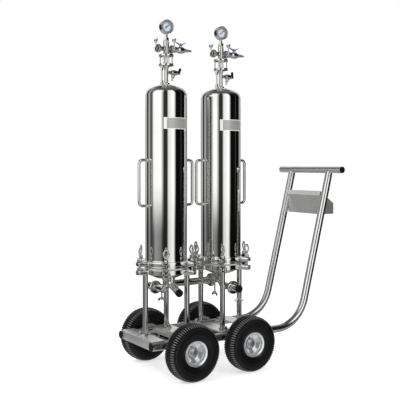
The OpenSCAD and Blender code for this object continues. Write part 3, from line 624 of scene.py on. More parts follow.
@dataclass
class Shape:
    """Points and faces of one piece, gathered surface by surface."""

    points: list[np.ndarray] = field(default_factory=list)
    faces: list[list[int]] = field(default_factory=list)
    count: int = 0

    def grid(self, p: np.ndarray, wrap_u: bool = False, wrap_v: bool = False) -> "Shape":
        """Adds a surface given as a grid of points.

        Args:
            p: array of rows by columns by three.
            wrap_u: whether the last row joins the first.
            wrap_v: whether the last column joins the first.

        Returns:
            The shape itself.
        """
        nu, nv = p.shape[:2]
        u = np.arange(nu if wrap_u else nu - 1)[:, None]
        v = np.arange(nv if wrap_v else nv - 1)[None, :]
        un, vn = (u + 1) % nu, (v + 1) % nv
        quads = np.stack((u * nv + v, un * nv + v, un * nv + vn, u * nv + vn), -1)
        self.faces += (quads.reshape(-1, 4) + self.count).tolist()
        self.points.append(p.reshape(-1, 3))
        self.count += nu * nv
        return self

    def cap(self, loop: np.ndarray) -> "Shape":
        """Adds one flat face.

        Args:
            loop: the points round it.

        Returns:
            The shape itself.
        """
        self.points.append(loop)
        self.faces.append(list(range(self.count, self.count + len(loop))))
        self.count += len(loop)
        return self

    def lathe(self, profile: np.ndarray, place: Place, steps: int = 64, closed: bool = False,
              first: float = 0.0, sweep: float = 360.0) -> "Shape":
        """Turns a profile of (radius, height) about the place's third axis.

        A point is (radius cos a, radius sin a, height) for each angle a. A
        profile that starts and ends on the axis, or is closed, gives a
        closed skin. A part turn gets flat ends.

        Args:
            profile: rows of radius and height.
            place: where the axis stands.
            steps: pieces round a full turn.
            closed: whether the profile joins its own start.
            first: angle where a part turn starts, in degrees.
            sweep: size of the turn in degrees.

        Returns:
            The shape itself.
        """
        whole = sweep >= 360.0
        count = steps if whole else max(int(steps * sweep / 360.0), 3) + 1
        a = math.radians(first) + np.linspace(0, math.radians(sweep), count, endpoint=not whole)
        r, z = profile[:, 0], profile[:, 1]
        p = np.stack((np.cos(a)[:, None] * r, np.sin(a)[:, None] * r,
                      np.broadcast_to(z, (count, len(z)))), -1)
        p = place.put(p)
        self.grid(p, wrap_u=whole, wrap_v=closed)
        if not whole:
            self.cap(p[0])
            self.cap(p[-1])
        return self

    def turned(self, corners: Sequence[Vec], place: Place, steps: int, arc: int,
               closed: bool = False) -> "Shape":
        """Turns a profile that is given by its corners and their radii.

        Args:
            corners: rows of radius, height and the corner's rounding.
            place: where the axis stands.
            steps: pieces round the turn.
            arc: pieces in each rounded corner.
            closed: whether the profile joins its own start.

        Returns:
            The shape itself.
        """
        return self.lathe(rounded(corners, arc, closed), place, steps, closed)

    def rod(self, radius: float, low: float, high: float, place: Place, edge: float = 0.6,
            steps: int = 32) -> "Shape":
        """A round bar along the place's third axis, with rounded end edges.

        Args:
            radius: the bar's radius.
            low: its lower end.
            high: its upper end.
            place: where the axis stands.
            edge: rounding of both ends.
            steps: pieces round it.

        Returns:
            The shape itself.
        """
        line = rounded([(0, low, 0), (radius, low, edge), (radius, high, edge), (0, high, 0)], 4)
        return self.lathe(supported(line, 0.5), place, steps)

    def hollow(self, inner: float, outer: float, low: float, high: float, place: Place,
               edge: float = 0.6, steps: int = 48) -> "Shape":
        """A ring or pipe along the place's third axis, with rounded edges.

        Args:
            inner: radius of its hole.
            outer: its outer radius.
            low: its lower face.
            high: its upper face.
            place: where the axis stands.
            edge: rounding of its four edges.
            steps: pieces round it.

        Returns:
            The shape itself.
        """
        line = [(inner, low, edge), (outer, low, edge), (outer, high, edge), (inner, high, edge)]
        return self.turned(line, place, steps, 4, True)

    def slab(self, outline: np.ndarray, low: float, high: float, place: Place,
             edge: float = 0.8) -> "Shape":
        """A plate with that outline, its two rims rounded.

        Rows of the skin follow a quarter circle at each rim: drawn in by
        edge (1 - cos a) and lowered by edge (1 - sin a).

        Args:
            outline: closed outline, anticlockwise, as rows of two.
            low: lower face.
            high: upper face.
            place: where the plate's plane stands.
            edge: radius of the rims.

        Returns:
            The shape itself.
        """
        a = np.linspace(0, math.pi / 2, 4)
        draw, drop = edge * (1 - np.cos(a)), edge * np.sin(a)
        face = edge + min(edge, 0.6)
        rows = [(face, low)]
        rows += [(d, low + edge - h) for d, h in zip(draw[::-1], drop[::-1])]
        rows += [(d, high - edge + h) for d, h in zip(draw, drop)]
        rows += [(face, high)]
        loops = [np.column_stack((inset(outline, d), np.full(len(outline), z))) for d, z in rows]
        p = place.put(np.stack(loops))
        self.grid(p, wrap_v=True)
        self.cap(p[0])
        self.cap(p[-1])
        return self

    def board(self, corners: Sequence[Vec], low: float, high: float, place: Place, edge: float,
              arc: int) -> "Shape":
        """A plate whose outline is given by its corners and their radii.

        Args:
            corners: rows of two places and the corner's rounding, anticlockwise.
            low: lower face.
            high: upper face.
            place: where the plate's plane stands.
            edge: radius of the rims.
            arc: pieces in each rounded corner.

        Returns:
            The shape itself.
        """
        return self.slab(rounded(corners, arc, True), low, high, place, edge)

    def hexagon(self, flat: float, low: float, high: float, place: Place,
                edge: float = 0.5) -> "Shape":
        """A six sided bar along the place's third axis.

        Args:
            flat: width across its flats.
            low: its lower face.
            high: its upper face.
            place: where the axis stands.
            edge: rounding of its edges.

        Returns:
            The shape itself.
        """
        a = np.radians(np.arange(0, 360, 60))
        r = flat / math.sqrt(3)
        corners = np.column_stack((np.cos(a) * r, np.sin(a) * r, np.full(6, edge * 1.2)))
        return self.slab(rounded(corners, 3, closed=True), low, high, place, edge)

    def tube(self, path: np.ndarray, radius: float | np.ndarray, normal: Vec, steps: int = 32,
             flat: float = 1.0, loop: bool = False) -> "Shape":
        """A round bar along a flat path.

        A point is path + radius (cos a side + sin a flat normal), where side
        is the normal crossed with the path's direction. Open ends close on
        the path.

        Args:
            path: rows of three, all in one plane.
            radius: one radius or one for each row.
            normal: the plane's normal.
            steps: pieces round the bar.
            flat: how far the section reaches along the normal, against radius.
            loop: whether the path joins its own start.

        Returns:
            The shape itself.
        """
        n = np.asarray(normal, float)
        n = n / np.linalg.norm(n)
        if loop:
            t = np.roll(path, -1, 0) - np.roll(path, 1, 0)
        else:
            t = np.gradient(path, axis=0)
        t = t / np.linalg.norm(t, axis=1, keepdims=True)
        side = np.cross(n, t)
        side = side / np.linalg.norm(side, axis=1, keepdims=True)
        r = np.broadcast_to(np.asarray(radius, float), (len(path),))
        if not loop:
            path = np.vstack((path[:1], path, path[-1:]))
            side = np.vstack((side[:1], side, side[-1:]))
            r = np.concatenate(([0.0], r, [0.0]))
        a = np.linspace(0, TAU, steps, endpoint=False)
        out, up = np.cos(a)[None, :, None], flat * np.sin(a)[None, :, None]
        ring = out * side[:, None, :] + up * n[None, None, :]
        return self.grid(path[:, None, :] + r[:, None, None] * ring, wrap_u=loop, wrap_v=True)

    def make(self, name: str, finish: Finish, body: str = "cart", nodes: Sequence[str] = (),
             crease: float = 35.0) -> bpy.types.Object:
        """Makes the piece: one closed mesh, dressed and set on its body.

        Args:
            name: the piece's name.
            finish: its finish.
            body: the CAD body it rides on.
            nodes: the CAD nodes it stands for.
            crease: edges sharper than this many degrees stay sharp.

        Returns:
            The piece.
        """
        mesh = bpy.data.meshes.new(name)
        mesh.from_pydata((np.vstack(self.points) * MM).tolist(), [], self.faces)
        work = bmesh.new()
        work.from_mesh(mesh)
        bmesh.ops.remove_doubles(work, verts=work.verts, dist=2e-6)
        bmesh.ops.recalc_face_normals(work, faces=work.faces)
        work.to_mesh(mesh)
        work.free()
        mesh.validate()
        mesh.shade_smooth()
        mesh.set_sharp_from_angle(angle=math.radians(crease))
        mesh.materials.append(finish.material())
        piece = bpy.data.objects.new(name, mesh)
        bpy.context.scene.collection.objects.link(piece)
        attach(piece, body)
        if nodes:
            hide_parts(*nodes)
        LOG.info("%s: %d faces", name, len(mesh.polygons))
        return piece


# Main lines of the cart


@dataclass(frozen=True)
class Layout:
    """The cart's main lines, in millimetres."""

    lean: float = math.radians(14.75)
    rail_y: float = 150.0
    rail_z: float = 160.0
    rail_front: float = -333.0
    rail_rear: float = 382.0
    bend_r: float = 180.0
    tube_r: float = 19.0
    handle_z: float = 949.0
    bar_r: float = 17.0
    tray_depth: float = 92.0
    tray_z: float = 716.0
    tray_lift: float = 60.0
    tray_gap: float = 1.0
    cap: float = 4.0
    bleed_x: float = -24.0
    half_base: float = 160.0
    half_track: float = 220.0
    wheel_r: float = 130.0
    deck_z: float = 179.0
    housing_gap: float = 313.0
    pair_x: float = -13.5
    base_low: float = 463.0
    bell_low: float = 492.0
    ring_top: float = 523.0
    knee_z: float = 1306.0
    pivot_z: float = 474.0
    bolt_circle: float = 141.0
    nut_low: float = 524.9

    @property
    def bend_end(self) -> tuple[float, float]:
        """Where the bend ends and the upright starts, along X and Z."""
        x = self.rail_rear + self.bend_r * math.cos(self.lean)
        return x, self.rail_z + self.bend_r * (1 - math.sin(self.lean))

    @property
    def handle_x(self) -> float:
        """The handlebar's centre, before the middle is taken off."""
        x, z = self.bend_end
        return x + (self.handle_z - z) * math.tan(self.lean)

    @property
    def tray_x(self) -> float:
        """The tray's front wall, before the middle is taken off."""
        drop = self.handle_z - self.tray_z - self.tray_lift
        return self.handle_x - drop * math.tan(self.lean) - self.tray_gap

    @property
    def mid(self) -> float:
        """Shift that puts the outline's middle at zero."""
        return -(self.tray_x + self.tray_depth + self.rail_front - self.cap) / 2

    def axis_x(self, rear: bool) -> float:
        """The axis of the front or rear housing along X, shifted."""
        return self.mid + self.pair_x + self.housing_gap * (0.5 if rear else -0.5)


LINES = Layout()


# Studio


@dataclass(frozen=True)
class Studio:
    """White room, soft lamps and the camera that took the photo."""

    lens: float = 66.29
    shift: float = -0.0875
    turn: float = -0.568
    spot: Vec = (-2134.3, -3034.1, 974.1)
    right: Vec = (0.843, -0.538, 0.0)
    toward: Vec = (-0.538, -0.843, 0.0)
    plain: float = 0.62
    floor_half: float = 14.0
    aim: Vec = (0.0, 0.0, 0.7)
    room: Sequence[tuple[float, float]] = (
        (-180, 0.05), (-158, 0.02), (-151, 0.55), (-133, 0.60), (-128, 0.03), (-114, 0.03),
        (-109, 0.50), (-99, 0.45), (-95, 0.08), (-80, 0.14), (-70, 1.20), (-27, 1.25),
        (-10, 0.035), (8, 0.03), (15, 0.95), (45, 1.30), (57, 0.004), (88, 0.004), (92, 0.07),
        (96, 0.004), (124, 0.004), (130, 0.40), (160, 0.45), (168, 0.05))
    bench: Sequence[tuple[float, float]] = (
        (-180, 0.05), (-158, 0.02), (-150, 0.35), (-134, 0.35), (-128, 0.02), (-112, 0.02),
        (-107, 0.30), (-98, 0.25), (-92, 0.04), (-72, 0.10), (-58, 0.34), (-30, 0.24), (-14, 0.02),
        (8, 0.02), (15, 0.75), (42, 1.10), (54, 0.004), (96, 0.004), (110, 0.03), (150, 0.006),
        (166, 0.10), (172, 0.04))

    def sky(self) -> None:
        """White to the camera, even to matt surfaces, banded to shiny ones.

        The bands stand round the room like soft boxes and flags: their place
        is the angle atan2(d . right, d . toward) of the ray's direction d.
        Under the horizon the dimmer bench bands take their place, and the
        ceiling is dark and the floor light.
        """
        world = bpy.data.worlds.new("studio_world")
        bpy.context.scene.world = world
        tree = Tree(world)
        ray = tree.node("ShaderNodeTexCoord", out="Generated")

        def dot(axis: Vec) -> Sock:
            """Dot product of the ray's direction with an axis."""
            return tree.node("ShaderNodeVectorMath", {"operation": "DOT_PRODUCT"},
                             {0: ray, 1: axis}, out="Value")

        place = dot(self.right).atan2(dot(self.toward)) * (1.0 / TAU) + 0.5
        ramps = []
        for bands in (self.room, self.bench):
            stops = [((angle + 180) / 360, level) for angle, level in bands]
            ramps.append(tree.node("ShaderNodeValToRGB", {"stops": stops}, {"Fac": place}))
        upper, lower = ramps
        height = dot((0.0, 0.0, 1.0))
        low = (0.0 - height).step(0.02, 0.10)
        over = height.step(0.62, 0.94)
        under = (0.0 - height).step(0.18, 0.34)
        behind = (0.0 - dot(self.toward)).step(0.72, 0.92) * height.step(0.05, 0.15)
        room = tree.mix(low, upper, lower)
        room = tree.mix(behind, room, grey(0.90))
        room = tree.mix(over, room, grey(0.10))
        floor = tree.mix(0.55, lower, grey(0.60))
        room = tree.mix(under, room, floor)
        path = tree.node("ShaderNodeLightPath", out="Is Glossy Ray")
        through = tree.node("ShaderNodeLightPath", out="Is Transmission Ray")
        seen = tree.node("ShaderNodeLightPath", out="Is Camera Ray")
        colour = tree.mix(path, grey(self.plain), room)
        colour = tree.mix(through, colour, grey(1.0))
        colour = tree.mix(seen, colour, grey(1.0))
        back = tree.node("ShaderNodeBackground", None, {"Color": colour, "Strength": 1.0})
        tree.node("ShaderNodeOutputWorld", None, {"Surface": back})

    def floor(self) -> None:
        """A wide pale floor that keeps a faint shadow."""
        mesh = bpy.data.meshes.new("studio_floor")
        size = self.floor_half
        mesh.from_pydata([(-size, -size, 0), (size, -size, 0), (size, size, 0), (-size, size, 0)],
                         [], [(0, 1, 2, 3)])
        paper = bpy.data.materials.new("studio_paper")
        tree = Tree(paper)
        tree.surface({"Base Color": grey(0.80), "Roughness": 0.9, "Specular IOR Level": 0.0,
                      "Emission Color": grey(1.0), "Emission Strength": 0.60})
        mesh.materials.append(paper)
        plane = bpy.data.objects.new("studio_floor", mesh)
        bpy.context.scene.collection.objects.link(plane)
        plane.visible_glossy = False

    def lamp(self, name: str, spot: Vec, size: float, power: float) -> None:
        """A square soft box aimed at the cart's middle, unseen in shiny surfaces.

        Args:
            name: the lamp's name.
            spot: where it stands, in metres.
            size: its side, in metres.
            power: its watts.
        """
        light = bpy.data.lights.new(name, "AREA")
        light.size = size
        light.energy = power
        lamp = bpy.data.objects.new(name, light)
        lamp.location = spot
        aim = np.asarray(self.aim) - np.asarray(spot, float)
        flat = math.hypot(aim[0], aim[1])
        lamp.rotation_euler = (math.atan2(flat, -aim[2]), 0.0, math.atan2(-aim[0], aim[1]))
        lamp.visible_glossy = False
        bpy.context.scene.collection.objects.link(lamp)

    def camera(self) -> None:
        """The photo's camera."""
        data = bpy.data.cameras.new("camera")
        data.lens = self.lens
        data.sensor_width = 36.0
        data.shift_y = self.shift
        data.clip_end = 60.0
        camera = bpy.data.objects.new("camera", data)
        camera.location = [v * MM for v in self.spot]
        camera.rotation_euler = (math.pi / 2, 0.0, self.turn)
        bpy.context.scene.collection.objects.link(camera)
        bpy.context.scene.camera = camera

    def build(self) -> None:
        """Makes the room."""
        self.sky()
        self.floor()
        self.lamp("key_lamp", (-3.2, 0.4, 3.4), 1.6, 60.0)
        self.lamp("fill_lamp", (0.8, -3.4, 2.6), 2.2, 30.0)
        self.camera()
        bpy.context.scene.view_settings.view_transform = "Standard"


# Chassis


@dataclass(frozen=True)
class Chassis:
    """Bent frame tubes, handlebar, deck plates and axle bars."""

    taper: float = 24.0
    neck: float = 3.4
    mouth: float = 0.6
    bar_half: float = 245.0
    weld_r: float = 16.4
    weld_share: float = 0.97
    weld_least: float = 3.0
    weld: float = 2.0
    ripple: float = 0.25
    ripples: int = 26
    axle_r: float = 10.0
    axle_half: float = 240.8
    block_low: float = 112.0
    block_top: float = 158.0
    plug: Sequence[Vec] = ((0, 243, 0), (17, 243, 0), (17, 247.2, 2.0), (13, 250, 4), (0, 250, 0))
    deck_t: float = 4.0
    deck_in: float = 130.8
    decks: Sequence[Sequence[float]] = ((-333.0, -262.0, 36.0), (-155.0, -73.0, 28.0),
                                        (46.5, 126.5, 0.0), (215.0, 295.0, 0.0))

    def tube(self, side: float, name: str, node: str) -> None:
        """One frame tube: a circle swept along rail, bend and upright.

        Its radius shrinks by neck (1 - left / taper)^2 where it meets the
        handlebar, left being the distance from its end.

        Args:
            side: -1 for the near tube, 1 for the far one.
            name: the piece's name.
            node: the CAD node it stands for.
        """
        y = side * LINES.rail_y
        corner = LINES.rail_rear + LINES.bend_r * math.tan((math.pi / 2 - LINES.lean) / 2)
        x0, x1 = LINES.mid + LINES.rail_front, LINES.mid + LINES.handle_x
        bend = (LINES.mid + corner, y, LINES.rail_z, LINES.bend_r)
        path = rounded([(x0, y, LINES.rail_z, 0), bend, (x1, y, LINES.handle_z, 0)], 40)
        path = supported(path, self.taper)
        left = np.linalg.norm(path - path[-1], axis=1)
        radius = LINES.tube_r - self.neck * rise(self.taper - left, self.taper) ** 2
        radius = radius - self.mouth * rise(1 - (path[:, 0] - x0), 1.0)
        shape = Shape().tube(path, radius, (0, 1, 0), 48)
        for x in (-LINES.half_base, LINES.half_base):
            block = mirrored([(-24, -17, 2), (24, -17, 2)])
            foot = Place((LINES.mid + x, y, 0))
            shape.board(block, self.block_low, self.block_top, foot, 1.4, 3)
        shape.make(name, TUBE_STEEL, nodes=[node])

    def handlebar(self) -> None:
        """A round bar across the uprights, with the welds where they meet it.

        A weld is a lump swept round a ring of radius weld_r that lies on the
        bar. Its centre stands sqrt(bar_r^2 - share (weld_r sin a)^2) above the
        bar's axis; the share under 1 keeps it just clear of the surface.
        """
        place = along_y(LINES.mid + LINES.handle_x, 0, LINES.handle_z)
        bar = Shape().rod(LINES.bar_r, -self.bar_half, self.bar_half, place, 0.4, 48)
        bar.make("handle_bar", TUBE_STEEL, nodes=["handlebar"])
        weld = Shape()
        up = (math.sin(LINES.lean), 0.0, math.cos(LINES.lean))
        for side in (-1, 1):
            spot = (LINES.mid + LINES.handle_x, side * LINES.rail_y, LINES.handle_z)
            seat = aimed(spot, [-c for c in up])
            a = np.linspace(0, TAU, 72, endpoint=False)[:, None]
            b = np.linspace(0, TAU, 10, endpoint=False)[None, :]
            ring = (self.weld_r * np.sin(a)) ** 2 * self.weld_share
            drop = np.sqrt(np.maximum(LINES.bar_r**2 - ring, self.weld_least**2))
            lump = self.weld + self.ripple * np.sin(a * self.ripples)
            y_turn = math.atan2(seat.axes[0][1], seat.axes[1][1])
            r = self.weld_r + lump * np.cos(b)
            p = np.stack((r * np.sin(a + y_turn), r * np.cos(a + y_turn),
                          np.broadcast_to(drop, r.shape) + lump * np.sin(b)), -1)
            weld.grid(seat.put(p), True, True)
        weld.make("handle_welds", CAST_STEEL)

    def caps(self) -> None:
        """Black plugs in the rails and on the handlebar."""
        shape = Shape()
        for side in (-1, 1):
            rail = along_x(LINES.mid + LINES.rail_front, side * LINES.rail_y, LINES.rail_z)
            shape.rod(LINES.tube_r - 0.1, -LINES.cap, 0, rail, 1.6, 48)
            bar = along_y(LINES.mid + LINES.handle_x, 0, LINES.handle_z).sided(side)
            shape.turned(self.plug, bar, 48, 5)
        shape.make("tube_plugs", BLACK_CAP, nodes=["tube_caps"])

    def plates(self) -> None:
        """Deck plates; the front two fold down into an apron."""
        shape = Shape()
        half = LINES.rail_y
        for low, high, depth in self.decks:
            x0, x1 = LINES.mid + low, LINES.mid + high
            z = LINES.deck_z
            start, corner = (x0 + 3, 0) if depth else (x0, 4)
            flat = mirrored([(start, -half, corner), (x1, -half, 4)])
            shape.board(flat, z, z + self.deck_t, Place(), 0.7, 4)
            if depth:
                fold = [(x0, z - depth, 0.8), (x0 + 3, z - depth, 0.8), (x0 + 3, z - 0.05, 0.5),
                        (x0 + 8, z - 0.05, 0.5), (x0 + 8, z + 3.95, 0.5), (x0, z + 3.95, 4.0)]
                shape.board(fold, -self.deck_in, self.deck_in, Place(axes=STANDING), 0.5, 5)
        shape.make("decks", SHEET_STEEL, nodes=["deck_plates"])

    def axles(self) -> None:
        """Axle bars with their spacers, and the washers and nuts at the ends."""
        bars, nuts = Shape(), Shape()
        for x in (-LINES.half_base, LINES.half_base):
            line = along_y(LINES.mid + x, 0, LINES.wheel_r)
            bars.rod(self.axle_r, -self.axle_half, self.axle_half, line, 1.4, 40)
            for side in (-1, 1):
                way = line.sided(side)
                bars.hollow(self.axle_r + 0.2, 15, 167.5, 185.5, way, 0.8)
                nuts.hollow(self.axle_r + 0.2, 16, 228.4, 230.3, way, 0.5)
                nuts.hexagon(28, 230.4, 239.4, way, 1.3)
        bars.make("axle_bars", AXLE_STEEL, nodes=["axles"])
        nuts.make("hub_nuts", CAST_STEEL, nodes=["axle_nuts"])

    def build(self) -> None:
        """Makes every piece of the chassis."""
        self.tube(-1, "near_tube", "frame_near")
        self.tube(1, "far_tube", "frame_far")
        self.handlebar()
        self.caps()
        self.plates()
        self.axles()


# Tray


@dataclass(frozen=True)
class Tray:
    """Folded sheet tray that hangs between the uprights."""

    tall: float = 122.0
    low: float = 56.0
    sheet: float = 2.0
    half: float = 131.0
    hem: float = 23.0

    def build(self) -> None:
        """Folds the walls: one sheet section swept across, and two ends."""
        x = LINES.mid + LINES.tray_x
        depth, t, half = LINES.tray_depth, self.sheet, self.half
        place = Place((x, 0, LINES.tray_z), STANDING)
        section = [(0, 0, 4), (depth, 0, 4), (depth, self.low + 2, 0.8),
                   (depth - t, self.low + 2, 0.8), (depth - t, t, 2), (t, t, 2),
                   (t, self.tall, 0.8), (0, self.tall, 0.8)]
        shape = Shape().board(section, -half + 0.3, half - 0.3, place, 0.4, 5)
        shape.make("tray_sheet", TRAY_STEEL, nodes=["tray"])
        side = [(0.6, 0.6, 4), (depth - 0.6, 0.6, 4), (depth - 0.6, self.low, 5),
                (0.6, self.tall - 1, 2)]
        ends = Shape()
        for low in (-half, half - t):
            ends.board(side, low, low + t, place, 0.6, 4)
        # The ends wear painted shade, a darker copy of the tray steel.
        ends.make("tray_ends", PAINTED_SHADE_TRAY_END)
        hem = [(-4, self.tall - self.hem, 0.9), (0.4, self.tall - self.hem, 0.9),
               (0.4, self.tall - 0.2, 0.9), (-4, self.tall - 0.2, 1.6)]
        fold = Shape().board(hem, -half + 0.4, half - 0.4, place, 0.7, 4)
        # The hem wears painted light, a lighter copy of the tray steel.
        fold.make("tray_hem", PAINTED_LIGHT_HEM_STEEL)


# Wheels


@dataclass(frozen=True)
class Wheel:
    """A pneumatic wheel: pressed rim, tyre and valve."""

    number: int
    fx: float
    fy: float
    half_width: float = 42.5
    blocks: int = 72
    bowl_r: float = 58.0
    bowl_y: float = 56.0
    valve_turn: float = 123.0
    valve_r: float = 40.6
    share: Sequence[float] = (0.0, 0.30, 0.58, 0.62, 0.96)
    cut: float = 5.0
    cut_from: float = 107.0
    sink_in: float = 0.86
    sink_aside: float = 0.42
    # Painted highlight: where on the tread, and at which of a block's five angles, the light
    # colour lies.
    painted_highlight_from: float = 112.0
    painted_highlight: Sequence[float] = (0.1, 0.0, 0.1, 1.0, 1.0)

    @property
    def place(self) -> Place:
        """The hub, its third axis pointing outwards.

        Returns:
            The place.
        """
        y = self.fy * LINES.half_track
        x = LINES.mid + self.fx * LINES.half_base
        return aimed((x, y, LINES.wheel_r), (0, self.fy, 0))

    def rim(self) -> None:
        """Barrel with rolled lips, bowl turned from an arc, hub and valve stem."""
        outside = [(57.2, 33.2, 1.1), (59, 35.0, 1.8), (57.4, 36.3, 1.2), (48.4, 33.4, 1.0),
                   (48.4, 22, 4), (43.6, 15, 4)]
        inside = [(50.8, 33.2, 2.0), (50.8, 20, 4), (46.2, 13, 4)]
        barrel = mirrored(outside) + mirrored(inside)[::-1]
        shape = Shape().turned(barrel, self.place, 96, 5, True)
        radii = np.linspace(35.0, 27.4, 8)
        bowl = np.column_stack((radii, self.bowl_y - np.sqrt(self.bowl_r**2 - radii**2)))
        front = [(46.6, 18.6, 0), *((*p, 0) for p in bowl), (26.8, -8, 0.8), (19, -8, 0)]
        back = [(19, -11.4, 0), (24.6, -11.4, 2), *((r, y - 3.4, 0) for r, y in bowl[::-1])]
        shape.turned([*back, (46.6, 15.2, 0), (47.4, 18.0, 0), *front], self.place, 96, 4, True)
        shape.turned([(10.2, -34, 0.8), (17, -34, 1.0), (17, -7, 0.2), (21.6, -9, 0.2),
                      (21.6, 6.8, 0.5), (20.4, 8, 0.8), (10.2, 8, 0.8)], self.place, 64, 4, True)
        shape.make(f"wheel_rim_{self.number}", RIM_PAINT, f"wheel_{self.number}",
                   [f"rim_{self.number}"])
        line = [(0, 13, 0), (3.2, 13, 0.4), (3.2, 19, 0.4), (2.5, 20, 0.4), (2.5, 27, 0.8),
                (0, 27, 0)]
        spot = self.place.spun(self.valve_turn).moved(self.valve_r)
        valve = Shape().turned(line, spot, 24, 3)
        valve.make(f"wheel_valve_{self.number}", BLACK_CAP, f"wheel_{self.number}")

    def tyre(self) -> None:
        """Tread with three grooves, cut shoulders and ringed sidewalls.

        The skin is the profile turned about the hub. At the second of each
        block's five angles the points sink by cut * gate(angle) * edge(width).
        A point attribute is one on the band of each block where a highlight is painted in a light
        colour.
        """
        w, r = self.half_width, LINES.wheel_r
        side = [(50.95, 0, 0), (50.95, 29.0, 1), (52.8, 32.9, 1.5), (60.6, 33.2, 1.2),
                (61.4, 36.2, 2), (68, 39.4, 10), (69.6, 40.6, 0.4), (71.2, 40.6, 0.4),
                (72.0, 40.6, 0.4), (86, w, 30), (101, 42.2, 2), (102.0, 42.9, 0.5),
                (104.0, 42.6, 0.5), (104.8, 41.5, 1), (117.0, 40.4, 16), (127.2, 31.6, 16),
                (129.8, 15.6, 0.5), (125.9, 14.9, 0.8), (125.9, 13.1, 0.8), (r, 12.4, 0.5),
                (r, 1.6, 0.5), (126.0, 1.0, 0.6), (126.0, 0, 0)]
        half = rounded([(a, min(b, w), c) for a, b, c in side], 4)[1:]
        profile = np.vstack((half, half[::-1][1:] * (1, -1), [[50.95, 0.0]]))
        a = (np.arange(self.blocks)[:, None] + np.array(self.share)).ravel() / self.blocks * TAU
        gate = np.tile([0.0, 1.0, 0.0, 0.0, 0.0], self.blocks)
        width = np.abs(profile[:, 1])
        shoulder = rise(width - 14.9, 0.8) * rise(42.0 - width, 2.0)
        shoulder = shoulder * rise(profile[:, 0] - self.cut_from, 3.0)
        middle = 0.5 * rise(width - 1.6, 0.6) * (width < 12.5)
        edge = shoulder + middle
        sink = self.cut * gate[:, None] * edge[None, :] * (profile[None, :, 0] > self.cut_from)
        radius = profile[None, :, 0] - sink * self.sink_in
        across = profile[None, :, 1] - np.sign(profile[None, :, 1]) * sink * self.sink_aside
        p = np.stack((np.cos(a)[:, None] * radius, np.sin(a)[:, None] * radius, across), -1)
        shape = Shape().grid(self.place.put(p), True, True)
        piece = shape.make(f"wheel_tyre_{self.number}", TYRE_RUBBER, f"wheel_{self.number}",
                           [f"tyre_{self.number}"], 30.0)
        # Painted highlight: a light band on the shoulder of each block.
        band = rise(width - 23.0, 3.0) * rise(39.0 - width, 3.0)
        band = band * (profile[:, 0] > self.painted_highlight_from)
        painted_highlight = np.tile(self.painted_highlight, self.blocks)[:, None] * band[None, :]
        level = piece.data.attributes.new("painted_highlight", "FLOAT", "POINT")
        level.data.foreach_set("value", painted_highlight.ravel().astype(np.float32))

    def build(self) -> None:
        """Makes the wheel."""
        self.rim()
        self.tyre()


# Housings


LUG_ANGLES = range(0, 360, 60)


@dataclass(frozen=True)
class OnAxis:
    """Anything that stands on the axis of one housing."""

    number: int
    rear: bool

    @property
    def place(self) -> Place:
        """The housing's axis on the floor."""
        return Place((LINES.axis_x(self.rear), 0, 0))

    def make(self, shape: Shape, name: str, finish: Finish, *shared: str) -> None:
        """Makes a piece on the cart's body, numbered like its housing.

        Args:
            shape: the piece's shape.
            name: its name without the number.
            finish: its finish.
            shared: CAD nodes of both housings; the first one stands for them.
        """
        nodes = shared if self.number == 1 else ()
        shape.make(f"{name}_{self.number}", finish, nodes=nodes)

    def make_moving(self, shape: Shape, name: str, finish: Finish, body: str) -> None:
        """Makes a piece that stands for a moving body's node, named like the body.

        Args:
            shape: the piece's shape.
            name: its name without the number.
            finish: its finish.
            body: the body's name without the number.
        """
        rides = f"{body}_{self.number}"
        shape.make(f"{name}_{self.number}", finish, rides, [rides])


